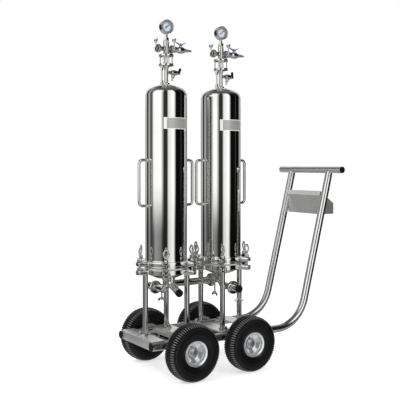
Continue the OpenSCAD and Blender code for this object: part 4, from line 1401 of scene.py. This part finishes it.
@dataclass(frozen=True)
class Housing(OnAxis):
    """One cartridge housing: base, legs, gasket, bell, grips and swing bolts."""

    letter: str
    turns: Sequence[float]
    legs: Sequence[float]
    toward: Sequence[float]
    ring: float = 105.0
    bore: float = 97.0
    lug_r: float = 156.0
    lug_half: float = 17.0
    slot_half: float = 6.5
    gasket_low: float = 486.0
    shell: float = 99.0
    wall: float = 2.0
    base_top: float = 485.0
    dish_r: float = 92.0
    dish_h: float = 29.0
    knee: float = 34.0
    crown: float = 165.0
    leg_circle: float = 112.0
    leg_r: float = 12.7
    grip_ends: Sequence[float] = (783.0, 997.0)
    grip_out: float = 145.0
    grip_r: float = 7.0
    foot_low: float = 183.0
    foot_top: float = 188.0
    shank: float = 6.0
    pitch: float = 1.75
    plate_low: float = 1141.0
    plate_high: float = 1195.0
    plate_r: float = 100.2
    plate_rim: float = 3.0
    plate_arc: Sequence[float] = (233.5, 77.0)
    field_up: float = 0.3
    field_arc: Sequence[float] = (242.0, 66.5)
    tooth: Sequence[tuple[float, float]] = ((0.1, 0.0), (0.5, 0.95), (0.9, 0.0))

    def lug_outline(self, slot_from: float) -> np.ndarray:
        """A lug's outline.

        Args:
            slot_from: radius at which its slot starts.

        Returns:
            The outline as rows of two.
        """
        half = [(self.bore, -self.lug_half, 0), (self.lug_r, -self.lug_half, 5),
                (self.lug_r, -self.slot_half, 1.6), (slot_from, -self.slot_half, 6.4)]
        return rounded(mirrored(half), 6, True)

    def base(self) -> None:
        """Ring, shallow dish and six forked lugs."""
        low, top = LINES.base_low, self.base_top
        big = (self.dish_r**2 + self.dish_h**2) / (2 * self.dish_h)
        r = np.linspace(0, self.dish_r, 26)
        dish = np.column_stack((r, low - self.dish_h + big - np.sqrt(big**2 - r**2)))
        rim = rounded([(self.dish_r, low, 0), (self.dish_r + 1.6, low - 1.2, 1),
                       (self.dish_r + 3.4, low, 0.6), (self.ring, low, 1.6), (self.ring, top, 1.2),
                       (101, top, 0.3), (101, self.gasket_low, 0.3), (0, self.gasket_low, 0)], 5)
        shape = Shape().lathe(supported(np.vstack((dish[:-1], rim)), 0.6), self.place, 128)
        outline = self.lug_outline(127)
        for a in LUG_ANGLES:
            shape.slab(outline, low + 0.4, top - 0.4, self.place.spun(a), 1.4)
        turned = self.place.spun(180.0) if self.rear else self.place
        shape.turned([(0, 428, 0), (19.6, 428, 1.2), (19.6, 437, 2), (23, 442, 2), (0, 442, 0)],
                     turned, 56, 4)
        shape.turned([(0, 436, 0), (19.2, 436, 1.2), (19.2, 452, 1), (0, 452, 0)],
                     turned.moved(0, -46, 0), 56, 4)
        shape.make(f"housing_base_{self.number}", RING_STEEL, nodes=[f"base_{self.number}"])

    def bell(self) -> None:
        """Shell, domed head and slotted ring in one mirror skin."""
        z0, top, knee_z = LINES.bell_low, LINES.ring_top, LINES.knee_z
        inner = self.shell - self.knee
        centre = knee_z - math.sqrt((self.crown - self.knee) ** 2 - inner**2)
        meet = math.asin(inner / (self.crown - self.knee))

        def head(g: float) -> np.ndarray:
            """The profile of knee and crown.

            Args:
                g: how far it is drawn in.

            Returns:
                Rows of radius and height.
            """
            a = np.linspace(0, math.pi / 2 - meet, 16)
            b = np.linspace(meet, 0, 30)[1:]
            small = self.knee - g
            knee = np.column_stack((inner + small * np.cos(a), knee_z + small * np.sin(a)))
            crown = (self.crown - g) * np.column_stack((np.sin(b), np.cos(b))) + (0, centre)
            return np.vstack((knee, crown))

        ring = rounded([(97, z0, 0.3), (101.5, z0, 0.3), (101.5, z0 + 2, 0.3),
                        (self.ring, z0 + 2, 0.9), (self.ring, z0 + 8, 0.9), (101.5, z0 + 8, 0.4),
                        (101.5, z0 + 10, 0.4), (self.ring, z0 + 10, 0.9), (self.ring, top, 1.4),
                        (self.shell, top, 2.2), (self.shell, top + 8, 0)], 5)
        walls = np.column_stack((np.full(40, self.shell), np.linspace(top + 12, knee_z - 4, 40)))
        profile = np.vstack((ring, walls, head(0), head(self.wall)[::-1], [[97, z0 + 3]]))
        shape = Shape().lathe(profile, self.place, 160, closed=True)
        shape.make(f"housing_shell_{self.number}", MIRROR, nodes=[f"bell_{self.number}"])
        fittings = Shape()
        outline = self.lug_outline(134.6)
        for a in LUG_ANGLES:
            fittings.slab(outline, 505, top, self.place.spun(a), 2.0)
        head_top = centre + self.crown
        fittings.turned([(0, head_top - 6, 0), (22, head_top - 5.2, 0),
                         (17.5, head_top - 0.5, 2.5), (17.5, head_top + 6, 1.2),
                         (0, head_top + 6, 0)], self.place, 64, 5)
        fittings.turned([(0, head_top - 6, 0), (7, head_top - 6, 0), (7, head_top + 6, 0.8),
                         (0, head_top + 6, 0)], self.place.moved(LINES.bleed_x), 40, 4)
        self.make(fittings, "housing_lugs", RING_STEEL)

    def grips(self) -> None:
        """Two welded U grips, each a bar swept round its corners."""
        shape = Shape()
        low, high = self.grip_ends
        for a in (0, 180):
            place = self.place.spun(a)
            out = self.grip_out
            path = rounded([(96, 0, low, 0), (out, 0, low, 18), (out, 0, high, 18),
                            (96, 0, high, 0)], 14)
            path = supported(path, 5.0)
            shape.tube(place.put(path), self.grip_r, place.axes[1], 36)
            for z in self.grip_ends:
                weld = [(0, -3, 0), (11.5, -2.6, 1), (8.6, 1.0, 4), (6.6, 5.6, 0), (0, 5.6, 0)]
                shape.turned(weld, place.swapped(ALONG_X, self.shell, 0, z), 40, 5)
        self.make(shape, "housing_grips", PIPE_STEEL)

    def plate(self) -> None:
        """The blank curved plate on the near side."""
        low, high, inner, outer = self.plate_low, self.plate_high, self.shell, self.plate_r
        line = [(inner, low, 0.2), (outer, low, 0.5), (outer, high, 0.5), (inner, high, 0.2)]
        shape = Shape().lathe(rounded(line, 3, True), self.place, 200, True, *self.plate_arc)
        self.make(shape, "blank_plate", PLATE_STEEL, "nameplates")
        low, high = low + self.plate_rim, high - self.plate_rim
        inner, outer = inner + 0.6, outer + self.field_up
        line = [(inner, low, 0.2), (outer, low, 0.3), (outer, high, 0.3), (inner, high, 0.2)]
        shape = Shape().lathe(rounded(line, 3, True), self.place, 200, True, *self.field_arc)
        self.make(shape, "blank_field", FIELD_STEEL)

    def gasket(self) -> None:
        """The white ring between base and bell."""
        low, high = self.gasket_low, LINES.bell_low
        shape = Shape().hollow(self.bore, 102.4, low, high, self.place, 1.0, 128)
        self.make(shape, "ring_gasket", SEAL_WHITE, "gaskets")

    def feet(self) -> None:
        """Three tube legs with welded feet, and the domed nuts on them."""
        legs, nuts = Shape(), Shape()
        outline = mirrored([(-17, -17, 16.8), (13, -16.2, 9), (38, -12, 11.8)])
        for a, b in zip(self.legs, self.toward):
            leg = self.place.spun(a).moved(self.leg_circle)
            weld = rounded([(0, 186, 0), (16.4, 186, 0.5), (16.0, 188.6, 1.2),
                            (self.leg_r, 191.4, 1.2), (self.leg_r, 459.4, 1.2), (15.6, 462.6, 1.2),
                            (15.8, 464.6, 0.5), (0, 464.6, 0)], 4)
            legs.lathe(supported(weld, 1.0), leg, 56)
            foot = leg.spun(b - a)
            legs.board(outline, self.foot_low, self.foot_top, foot, 0.9, 8)
            seat = foot.moved(26, 0, self.foot_top)
            nuts.hollow(5.4, 9.6, 0, 1.5, seat, 0.4, 40)
            nuts.hexagon(17, 1.5, 8, seat, 1.2)
            nuts.turned([(0, 7, 0), (8.1, 7, 0.4), (7.6, 11.5, 3), (5.2, 14.3, 3), (0, 15.0, 0)],
                        seat, 40, 5)
            nuts.rod(5, -16, 2, seat, 0.6, 24)
            nuts.hexagon(16, -15, -9.2, seat, 0.9)
        self.make(legs, "tube_legs", LEG_STEEL, "legs")
        self.make(nuts, "leg_nuts", CAST_STEEL)

    def bolt(self, index: int) -> None:
        """One swing bolt: eye, threaded shank, washer and diamond eye nut.

        The diamond is an oval section swept round a rounded rhombus.

        Args:
            index: which lug it serves, from 0.
        """
        place = self.place.spun(60 * index).moved(LINES.bolt_circle)
        pivot, low = LINES.pivot_z, LINES.nut_low
        steel = Shape()
        eye = mirrored([(5.1, -5.5, 0.6), (12, -5.5, 1.2)])
        steel.turned(eye, place.swapped(ALONG_Y, 0, 0, pivot), 48, 4, True)
        first, last, r = pivot + 18.0, low + 13.0, self.shank
        teeth = [(0, pivot + 9), (r, pivot + 9), (r, first - 1.5)]
        for i in range(int((last - first) / self.pitch)):
            teeth += [(r - depth, first + self.pitch * (i + at)) for at, depth in self.tooth]
        teeth += [(5.2, last), (0, last)]
        steel.lathe(np.asarray(teeth), place, 28)
        steel.hollow(6.1, 11, low, low + 2.4, place, 0.7, 40)
        nut = place.moved(0, 0, low + 2.55).spun(self.turns[index] + 90)
        steel.turned([(6.1, 0, 0.6), (10, 0, 0.9), (10, 6, 3), (8.4, 12.5, 2), (6.1, 12.5, 0.5)],
                     nut, 40, 4, True)
        loop = rounded([(0, 0, 12.4, 5), (14.0, 0, 38.5, 11), (0, 0, 64.6, 6),
                        (-14.0, 0, 38.5, 11)], 12, True)
        steel.tube(nut.put(loop), 4.1, nut.axes[1], 20, 0.98, True)
        name = f"{self.letter}{index + 1}"
        steel.make(f"swing_bolt_{name}", CAST_STEEL, f"bolt_{name}", [f"bolt_{name}"], 40.0)

    def pins(self) -> None:
        """The pins the swing bolts hinge on."""
        shape = Shape()
        for a in LUG_ANGLES:
            seat = self.place.spun(a).swapped(ALONG_Y, LINES.bolt_circle, 0, LINES.pivot_z)
            shape.rod(5, -18, 18, seat, 0.6, 32)
            for low, high in ((-20, -17.1), (17.1, 20)):
                shape.rod(7, low, high, seat, 1.0, 32)
        self.make(shape, "hinge_pins", AXLE_STEEL, "pivot_pins")

    def build(self) -> None:
        """Makes the housing."""
        self.base()
        self.bell()
        self.grips()
        self.plate()
        self.gasket()
        self.feet()
        self.pins()
        for i in range(6):
            self.bolt(i)


HOUSINGS = (Housing(1, False, "a", (8, -24, 15, -12, 6, 20), (180, 60, 300), (180, 270, 90)),
            Housing(2, True, "b", (-10, 18, -6, 8, 62, -18), (0, 120, 240), (0, 180, 270)))


# Pipes and clamps


def wing_nut(shape: Shape, place: Place, body: float, span: float, height: float) -> None:
    """Adds a cast wing nut: a cone body with two rounded wings.

    Args:
        shape: the shape to add to.
        place: its seat; the third axis points to the wings.
        body: radius of the body at its top.
        span: width over both wings.
        height: height of the body.
    """
    shape.turned([(0, 0, 0), (body + 1.5, 0, 0.8), (body + 0.6, height * 0.5, 2),
                  (body, height, 1.0), (0, height, 0)], place, 36, 4)
    reach = span / 2
    wing = [(body * 0.35, 1.0, 0), (body + 1, 1.2, 2), (reach - 4, height - 3.0, 6),
            (reach, height + 2, 6.5), (reach - 2, height + 9.8, 6.5),
            (reach - 12, height + 9.0, 5), (body + 0.4, height - 0.6, 3),
            (body * 0.35, height - 0.6, 0)]
    for a in (0, 180):
        shape.board(wing, -2.0, 2.0, place.spun(a).swapped(STANDING), 1.5, 6)


def threaded(radius: float, low: float, high: float, pitch: float = 1.6,
             depth: float = 0.8) -> np.ndarray:
    """The profile of a threaded rod: a row of teeth between two heights.

    Args:
        radius: radius over the teeth.
        low: its lower end.
        high: its upper end.
        pitch: distance from tooth to tooth.
        depth: height of a tooth.

    Returns:
        Rows of radius and height.
    """
    count = max(int((high - low - 1.0) / pitch), 1)
    rows = [(0.0, low), (radius - depth, low)]
    for i in range(count):
        z = low + 0.5 + i * pitch
        rows += [(radius - depth, z), (radius, z + pitch * 0.4), (radius, z + pitch * 0.6)]
    rows += [(radius - depth, high - 0.2), (0.0, high)]
    return np.asarray(rows)


@dataclass(frozen=True)
class Clamp:
    """A two piece pipe clamp: its half rings, the ears for its bolt and its hinge pin."""

    outer: float
    inner: float
    pipe: float
    width: float
    gap: float = 0.7
    ear: float = 8.0
    ear_gap: float = 0.8

    def rings(self, shape: Shape, place: Place) -> None:
        """Two half rings whose inside is a wedge groove.

        Args:
            shape: the shape to add to.
            place: the pipe's axis at the joint; its first axis points to the bolt.
        """
        w, r = self.width / 2, self.outer
        outside = mirrored([(self.pipe + 1.2, -w, 0.6), (r - 2, -w, 2.2), (r, -w + 3, 2.2)])
        groove = mirrored([(self.inner - 1, 3.4, 0.5)])
        line = rounded(outside + groove, 4, True)
        gap = math.degrees(self.gap / r)
        for first in (gap, 180 + gap):
            shape.lathe(line, place, 72, True, first, 180 - 2 * gap)
        ear = mirrored([(r - 5, -w * 0.8, 0.5), (r + 11, -w * 0.8, 4.5)])
        flat = place.swapped(((1, 0, 0), (0, 0, -1), (0, 1, 0)))
        for low, high in ((self.ear_gap, self.ear), (-self.ear, -self.ear_gap)):
            shape.board(ear, low, high, flat, 1.2, 5)
        shape.rod(min(5.0, 0.19 * r), -w, w, place.moved(-r - 1, 0, 0), 0.8, 28)


@dataclass(frozen=True)
class Pipework:
    """Outlet and inlet bends, cross pipe, clamps and black end caps."""

    pipe: float = 16.85
    ferrule: float = 25.2
    elbow: float = 36.0
    cross_z: float = 409.0
    outlet_z: float = 380.0
    clamp_at: float = 106.0
    end: float = 148.0
    turn: float = math.radians(68.0)
    inlet_len: float = 50.0
    side_port: float = 46.0
    inlet_top: float = 437.0
    stub: float = 60.0
    bolt_at: float = 36.0
    plug: Sequence[Vec] = ((0, -2, 0), (17.85, -2, 0.8), (17.85, 14, 2.4), (12, 14, 0.4),
                           (12, 13.2, 0.4), (0, 13.2, 0))

    def collar(self, shape: Shape, place: Place) -> None:
        """A pair of ferrule lips about the place's origin.

        Args:
            shape: the shape to add to.
            place: the pipe's axis at the joint.
        """
        half = [(self.pipe - 1, -5.5, 0), (self.pipe + 0.3, -5.5, 1), (self.ferrule, -2.6, 0.8)]
        lip = rounded(mirrored(half), 4)
        line = np.vstack(([[0, -5.4]], lip, [[0, 5.4]]))
        shape.lathe(line, place, 56)

    def build(self) -> None:
        """Makes the pipes under both housings, with their clamps and plugs."""
        outlet, inlet, caps, clamps, bolts = (Shape() for _ in range(5))
        kind = Clamp(32.0, self.ferrule, self.pipe, 16.0)
        for housing in HOUSINGS:
            base = housing.place.spun(180.0) if housing.rear else housing.place
            line = [(0, 0, 440, 0), (0, 0, self.outlet_z, self.elbow),
                    (0, self.end, self.outlet_z, 0)]
            self.bend(outlet, line, base)
            tip, way = self.bend_down(inlet, base)
            caps.turned(self.plug, aimed(tip, way).inside(base), 48, 5)
            raised = rounded(self.plug, 5) + (0, 1.0)
            caps.lathe(raised, base.swapped(ALONG_Y, 0, self.end, self.outlet_z), 48)
            side = -1 if housing.rear else 1
            axes = ((side, 0, 0), (0, 0, -side), (0, 1, 0))
            joint = base.swapped(axes, 0, self.clamp_at, self.outlet_z)
            self.collar(outlet, joint)
            kind.rings(clamps, joint)
            self.hang(bolts, joint, 20 if housing.rear else -110)
        outlet.make("outlet_pipes", PIPE_STEEL, nodes=["outlet_bends"])
        inlet.make("inlet_pipes", PIPE_STEEL, nodes=["inlet_bends"])
        self.link(kind, clamps, bolts).make("link_pipe", PIPE_STEEL, nodes=["cross_pipe"])
        caps.make("pipe_plugs", BLACK_CAP, nodes=["pipe_caps"])
        clamps.make("clamp_rings", CAST_STEEL, nodes=["pipe_clamps"])
        bolts.make("clamp_bolts", CAST_STEEL)

    def bend(self, shape: Shape, line: Sequence[Vec], base: Place) -> None:
        """A pipe along a line with rounded corners.

        Args:
            shape: the shape to add to.
            line: rows of three places and the corner's radius.
            base: the housing's place.
        """
        path = supported(rounded(line, 20), 8.0)
        shape.tube(base.put(path), self.pipe, base.axes[0], 48)

    def bend_down(self, shape: Shape, base: Place) -> tuple[Vec, Vec]:
        """The inlet: down from its port, then aside at an angle.

        Args:
            shape: the shape to add to.
            base: the housing's place.

        Returns:
            The pipe's tip and the way it points, both within base.
        """
        way = (0, -np.sin(self.turn), -np.cos(self.turn))
        drop = self.elbow * math.tan(self.turn / 2)
        corner = (0, -self.side_port, self.inlet_top - drop)
        reach = drop + self.inlet_len
        tip = (0, corner[1] + reach * way[1], corner[2] + reach * way[2])
        start = (0, -self.side_port, self.inlet_top + 12)
        self.bend(shape, [(*start, 0), (*corner, self.elbow), (*tip, 0)], base)
        return tip, way

    def link(self, kind: Clamp, clamps: Shape, bolts: Shape) -> Shape:
        """The cross pipe between the housings, and its clamp.

        Args:
            kind: the clamp.
            clamps: the shape that gathers the clamps' rings.
            bolts: the shape that gathers their bolts.

        Returns:
            The pipe's shape.
        """
        a, b = LINES.axis_x(False), LINES.axis_x(True)
        cross = Shape().rod(self.pipe, a + 14, b - 14, along_x(0, 0, self.cross_z), 0.5, 48)
        joint = Place((b - self.stub, 0, self.cross_z), ((0, -1, 0), (0, 0, -1), (1, 0, 0)))
        self.collar(cross, joint)
        kind.rings(clamps, joint)
        self.hang(bolts, joint, 90)
        bead = [(15.5, -3.4, 0.5), (19.2, -1.6, 1.8), (18.6, 2.4, 1.8), (15.5, 4.0, 0.5)]
        for x in (a + 16.2 + 1.6, b - 16.2 - 1.6):
            cross.turned(bead, along_x(x, 0, self.cross_z), 48, 4, True)
        return cross

    def hang(self, shape: Shape, joint: Place, turn: float) -> None:
        """A clamp's bolt, hanging down, with its wing nut near the end.

        Args:
            shape: the shape to add to.
            joint: the clamp's place.
            turn: how far the wings are turned from X, in degrees.
        """
        down = Place(tuple(joint.put((self.bolt_at, 0.0, 0.0))), UPSIDE_DOWN)
        shape.lathe(threaded(4.0, 0, 66), down, 24)
        shape.rod(4.0, -9.5, 2, down, 0.5, 24)
        shape.rod(7.0, -12, -8.1, down, 0.9, 32)
        wing_nut(shape, down.moved(0, 0, 52).spun(turn), 7.5, 50, 11)


# Fittings on top


@dataclass(frozen=True)
class Mast(OnAxis):
    """What stands on one housing: stem, sight glass, valves and gauge."""

    sample_turn: float
    pointer: float = 48.0
    boss_top: float = 1363.26
    sight_low: float = 1444.26
    glass: float = 36.0
    flange: float = 9.0
    flange_r: float = 36.0
    rod_circle: float = 29.0
    arm_up: float = 27.0
    gauge_up: float = 131.0
    sample_drop: float = 30.0
    stem: float = 9.5
    ticks: int = 51
    tick_r: float = 20.6
    spindle: float = 80.0
    spout_turn: float = 196.0

    @property
    def fit_low(self) -> float:
        """Underside of the cross fitting."""
        return self.sight_low + 2 * self.flange + self.glass

    @property
    def arm_z(self) -> float:
        """Height of the cross fitting's arms."""
        return self.fit_low + self.arm_up

    @property
    def gauge_z(self) -> float:
        """Height of the gauge's centre."""
        return self.fit_low + self.gauge_up

    def post(self) -> None:
        """Stem with its cone, and the thin bleed tube beside it."""
        shape = Shape()
        low = self.sight_low
        line = rounded([(0, self.boss_top - 3, 0), (12.4, self.boss_top - 1, 1),
                        (self.stem, self.boss_top + 3, 2), (self.stem, low - 16, 5),
                        (self.stem + 5.8, low - 1.5, 1.5), (self.stem + 5.8, low + 1, 0),
                        (0, low + 1, 0)], 6)
        shape.lathe(supported(line, 1.0), self.place, 56)
        self.make(shape, "mast_stem", PIPE_STEEL, "stems")
        tube = Shape()
        side = self.place.moved(LINES.bleed_x)
        bottom = self.boss_top + 0.05
        tube.rod(4, bottom, low + 1, side, 0.3, 28)
        tube.hexagon(14, bottom, bottom + 11, side, 1.0)
        tube.hexagon(14, low - 22, low - 10, side, 1.0)
        tube.rod(8, low - 11, low + 0.2, side, 0.8, 32)
        self.make(tube, "bleed_line", PIPE_STEEL, "bleed_tubes")

    def sight(self) -> None:
        """Two flanges held by four threaded rods, with a glass tube between."""
        shape, glass = Shape(), Shape()
        low = self.sight_low
        high = low + self.flange + self.glass
        for z in (low, high):
            r, top = self.flange_r, z + self.flange
            disc = [(7, z, 0.5), (r, z, 1.3), (r, top, 1.3), (7, top, 0.5)]
            shape.turned(disc, self.place, 96, 5, True)
        for a in range(45, 360, 90):
            rod = self.place.spun(a).moved(self.rod_circle)
            shape.lathe(threaded(3.0, low + self.flange - 1, high + 1, 1.1, 0.5), rod, 20)
            shape.hexagon(9, low + self.flange, low + self.flange + 4.6, rod, 0.7)
            shape.hexagon(9, high - 4.6, high, rod, 0.7)
            shape.turned([(0, 0, 0), (4.6, 0, 0.3), (4.6, 2.6, 1.4), (0, 4.4, 0)],
                         rod.moved(0, 0, high + self.flange - 0.4), 28, 4)
        self.make(shape, "sight_flanges", RING_STEEL, "sight_frames")
        glass.hollow(14, 17, low + self.flange + 0.1, high - 0.1, self.place, 0.5, 64)
        self.make(glass, "sight_tube", GLASS, "sight_glasses")
        ends = Shape()
        for z in (low + self.flange, high - 2.4):
            ends.hollow(13.2, 18.4, z + 0.1, z + 2.3, self.place, 0.5, 48)
        self.make(ends, "sight_seals", SEAL_WHITE)

    def cross(self) -> None:
        """Cross fitting with its arms, blind cap and the two small clamps."""
        shape = Shape()
        low = self.fit_low
        line = rounded([(0, low - 0.5, 0), (19, low - 0.5, 0), (19, low + 4, 0.8),
                        (14, low + 5, 2), (14, low + 66, 1), (12, low + 68.3, 0.5),
                        (0, low + 68.3, 0)], 5)
        shape.lathe(supported(line, 1.0), self.place, 48)
        shape.hexagon(25, low + 68, low + 80, self.place, 1.2)
        arms = self.place.moved(0, 0, self.arm_z)
        across = arms.swapped(ALONG_X)
        shape.turned([(0, -44.6, 0), (17, -44.6, 0.8), (17, -39.4, 0.8), (10.5, -37.2, 1),
                      (10.5, -16, 2), (12.4, -12, 2), (12.4, 12, 2), (10.5, 16, 2),
                      (10.5, 25.2, 1), (17, 27.4, 0.8), (17, 29.9, 0.8), (0, 29.9, 0)], across, 48,
                     4)
        shape.rod(9, -56, -44, across, 1.2, 36)
        self.make(shape, "mast_cross", CAST_STEEL, "cross_fittings")
        clamps = Shape()
        kind = Clamp(20.0, 17.0, 10.6, 13.0)
        for x, side in ((-42, 1), (30, -1)):
            place = Place((x, 0, 0), ((0, side, 0), (0, 0, 1), (side, 0, 0))).inside(arms)
            kind.rings(clamps, place)
            bolt = arms.moved(x, 24 * side, 0)
            clamps.lathe(threaded(2.6, 8, 45, 1.1, 0.5), bolt, 20)
            clamps.rod(2.6, -10, 9, bolt, 0.3, 20)
            clamps.rod(5.5, -12, -8.1, bolt, 0.9, 28)
            wing_nut(clamps, bolt.moved(0, 0, 31).spun(90), 5.5, 36, 8)
        self.make(clamps, "mast_clamps", CAST_STEEL, "top_clamps")

    def valve(self) -> None:
        """Ball valve, hose nozzle and the blue wing lever."""
        shape = Shape()
        arms = self.place.moved(0, 0, self.arm_z)
        across = arms.swapped(ALONG_X)
        shape.turned([(0, 30.1, 0), (17, 30.1, 0.8), (17, 32.6, 0.8), (10.5, 34.8, 1),
                      (10.5, 43.5, 0.4), (0, 43.5, 0)], across, 48, 4)
        shape.hexagon(27, 43, 55, across, 1.4)
        shape.turned([(0, 54.5, 0), (12.4, 54.5, 1), (12.8, 62, 4), (16, 70, 9), (16, 90, 9),
                      (12.6, 97, 2), (0, 98.5, 0)], across, 48, 7)
        shape.hexagon(20, 98, 105, across, 1.1)
        barbs = [(0, 104.5, 0)]
        for x in (104.5, 111.2, 118.0):
            barbs += [(6.0, x, 0.3), (8.0, x + 0.6, 0.4), (6.1, x + 6.6, 0.3)]
        barbs += [(5.0, 125.6, 0.5), (5.0, 139, 1.0), (3.4, 139, 0.4), (3.4, 130, 0), (0, 130, 0)]
        shape.turned(barbs, across, 40, 3)
        neck = [(0, 8, 0), (7.6, 8, 0.5), (7.0, 14, 1), (7.0, 21, 1.0), (3.0, 21.4, 0.3),
                (3.0, 30, 0.4), (0, 30, 0)]
        spindle = arms.moved(self.spindle)
        shape.turned(neck, spindle, 36, 4)
        shape.hexagon(8, 30.1, 33.4, spindle, 0.7)
        self.make(shape, "hose_valve", CAST_STEEL, "hose_valves")
        seat = spindle.moved(0, 0, 22)
        hub = [(3.1, 0, 0.4), (5.8, 0, 1), (5.8, 5.6, 1.4), (3.1, 5.6, 0.4)]
        lever = Shape().turned(hub, seat, 36, 4, True)
        wing = [(4.6, 0.6, 0.4), (8, 0.8, 3), (14, 6.8, 8), (27, 12.4, 1.5), (27, 15.6, 1.5),
                (12.4, 10.6, 8), (7, 5.0, 2), (4.6, 4.6, 0.4)]
        for a in (0, 180):
            lever.board(wing, -4.5, 4.5, seat.spun(a).swapped(STANDING), 1.3, 6)
        self.make_moving(lever, "blue_wing", BLUE_VINYL, "lever")

    def sample(self) -> None:
        """Small sample valve on the stem, its spout and black lever."""
        shape = Shape()
        spot = self.place.moved(0, 0, self.sight_low - self.sample_drop)
        across = spot.swapped(ALONG_X)
        shape.turned([(0, 8.2, 0), (9.4, 9.0, 1), (8.0, 12, 1), (8.0, 28.4, 1), (13.2, 30, 2),
                      (13.2, 53.5, 2.5), (0, 53.5, 0)], across, 40, 5)
        shape.hexagon(20, 53, 61, across, 1.1)
        shape.rod(3, 60, 75, across, 0.6, 24)
        a = math.radians(self.spout_turn)
        spout = aimed((42, 0, 0), (math.sin(a), 0, math.cos(a))).inside(spot)
        shape.turned([(0, 0, 0), (9, 0, 0), (7.4, 26, 1.2), (4, 27, 0.8), (4, 40, 0.8),
                      (2.6, 40, 0.2), (2.6, 36, 0), (0, 36, 0)], spout, 36, 4)
        self.make(shape, "sample_valve", CAST_STEEL, "sample_valves")
        t = math.radians(self.sample_turn)
        c, s = math.cos(t), math.sin(t)
        turned = spot.swapped(((0, c, s), (0, -s, c), (1, 0, 0)), 64)
        hub = [(3.1, 0.1, 0.4), (7, 0.1, 1.2), (7, 10, 1.6), (3.1, 10, 0.4)]
        arm = [(-6.2, 4, 0.5), (6.2, 4, 0.5), (6.2, 26.4, 5), (-6.2, 26.4, 5)]
        lever = Shape().turned(hub, turned, 36, 4, True).board(arm, 1, 9, turned, 1.6, 6)
        self.make_moving(lever, "sample_handle", BLACK_CAP, "sample_lever")

    def gauge(self) -> None:
        """Pressure gauge: case, bezel, plain dial with ticks, a dark ring of painted shade at the
        dial's edge, pointer, window.
        """
        z = self.gauge_z
        front = self.place.swapped(STANDING, 0, 0, z)
        case = Shape()
        case.turned([(0, -14, 0), (30.6, -14, 3), (32.9, -11.5, 2), (32.9, 10.6, 0.5),
                     (33.45, 11.2, 0.5), (33.45, 15.0, 1.0), (31.6, 16.0, 1.0), (30.0, 14.4, 0.6),
                     (30.0, 4.2, 0), (0, 4.2, 0)], front, 96, 5)
        stalk = self.place.moved(0, 0, z - 33.5)
        case.rod(6, -17, 4, stalk, 0.3, 28)
        case.hexagon(14, -17.3, -6.5, stalk, 1.0)
        case.turned([(0, -6.5, 0), (7.6, -6.5, 0.5), (7.2, -1.0, 1.2), (9.0, 4, 0), (0, 4, 0)],
                    stalk, 32, 4)
        self.make(case, "gauge_case", RING_STEEL, "gauge_cases")
        dial = Shape().rod(29.8, 4.0, 5.4, front, 0.2, 72)
        dial.rod(1.45, 5, 9.5, front, 0.4, 16)
        self.make(dial, "gauge_dial", DIAL_WHITE, "gauge_dials")
        ticks = Shape()
        for i in range(self.ticks):
            a = 225 - 270 / (self.ticks - 1) * i
            size, wide = (5.0, 0.75) if i % 10 == 0 else (3.8, 0.5) if i % 5 == 0 else (2.4, 0.3)
            bar = mirrored([(self.tick_r - size, -wide), (self.tick_r, -wide)])
            ticks.slab(np.array(bar, float), 5.3, 5.6, front.spun(a), 0.04)
        self.make(ticks, "gauge_ticks", INK_BLACK)
        # Painted shade: a dark ring over the dial's edge, for the shade inside the bezel.
        wall = [(21.4, 5.3, 0.3), (29.9, 5.3, 0.2), (29.9, 12.6, 0.3), (27.6, 12.6, 0.6),
                (21.4, 6.4, 0.8)]
        self.make(Shape().turned(wall, front, 72, 4, True), "gauge_shade_ring", PAINTED_SHADE_RING)
        needle = front.spun(-self.pointer)
        blade = [(-3.2, -9, 0.6), (3.2, -9, 0.6), (2.8, -1, 1), (1.3, 19, 0.3), (-1.3, 19, 0.3),
                 (-2.8, -1, 1)]
        hand = Shape().board(blade, 7.4, 8.3, needle, 0.15, 3)
        hub = [(1.6, 7.1, 0.1), (3.5, 7.1, 0.3), (3.5, 9, 0.6), (1.6, 9, 0.2)]
        self.make_moving(hand.turned(hub, needle, 28, 3, True), "gauge_hand", INK_BLACK, "pointer")
        window = Shape().rod(30.0, 13.1, 14.6, front, 0.3, 72)
        self.make(window, "gauge_window", PANE)

    def build(self) -> None:
        """Makes the mast."""
        self.post()
        self.sight()
        self.cross()
        self.valve()
        self.sample()
        self.gauge()


@dataclass(frozen=True)
class Carried:
    """CAD nodes that are shown as packed, each with its finish."""

    finishes: Sequence[tuple[str, Finish]] = (("frame_bolts", CAST_STEEL), ("cartridges", FIBRE))

    def build(self, nodes: dict[str, bpy.types.Object]) -> None:
        """Dresses the nodes.

        Args:
            nodes: the frame's nodes by name.
        """
        for name, finish in self.finishes:
            mesh = nodes[name].data
            mesh.materials.clear()
            mesh.materials.append(finish.material())
            LOG.info("%s: carried over", name)


def main() -> None:
    """Builds the cart and its studio."""
    logging.basicConfig(level=logging.INFO, format="%(message)s")
    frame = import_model()
    Studio().build()
    Chassis().build()
    Tray().build()
    for number, (fx, fy) in enumerate(((-1, -1), (1, -1), (-1, 1), (1, 1)), 1):
        Wheel(number, fx, fy).build()
    for housing in HOUSINGS:
        housing.build()
    Pipework().build()
    Mast(1, False, 40.0).build()
    Mast(2, True, 0.0).build()
    Carried().build(frame["nodes"])


if __name__ == "__main__":
    main()
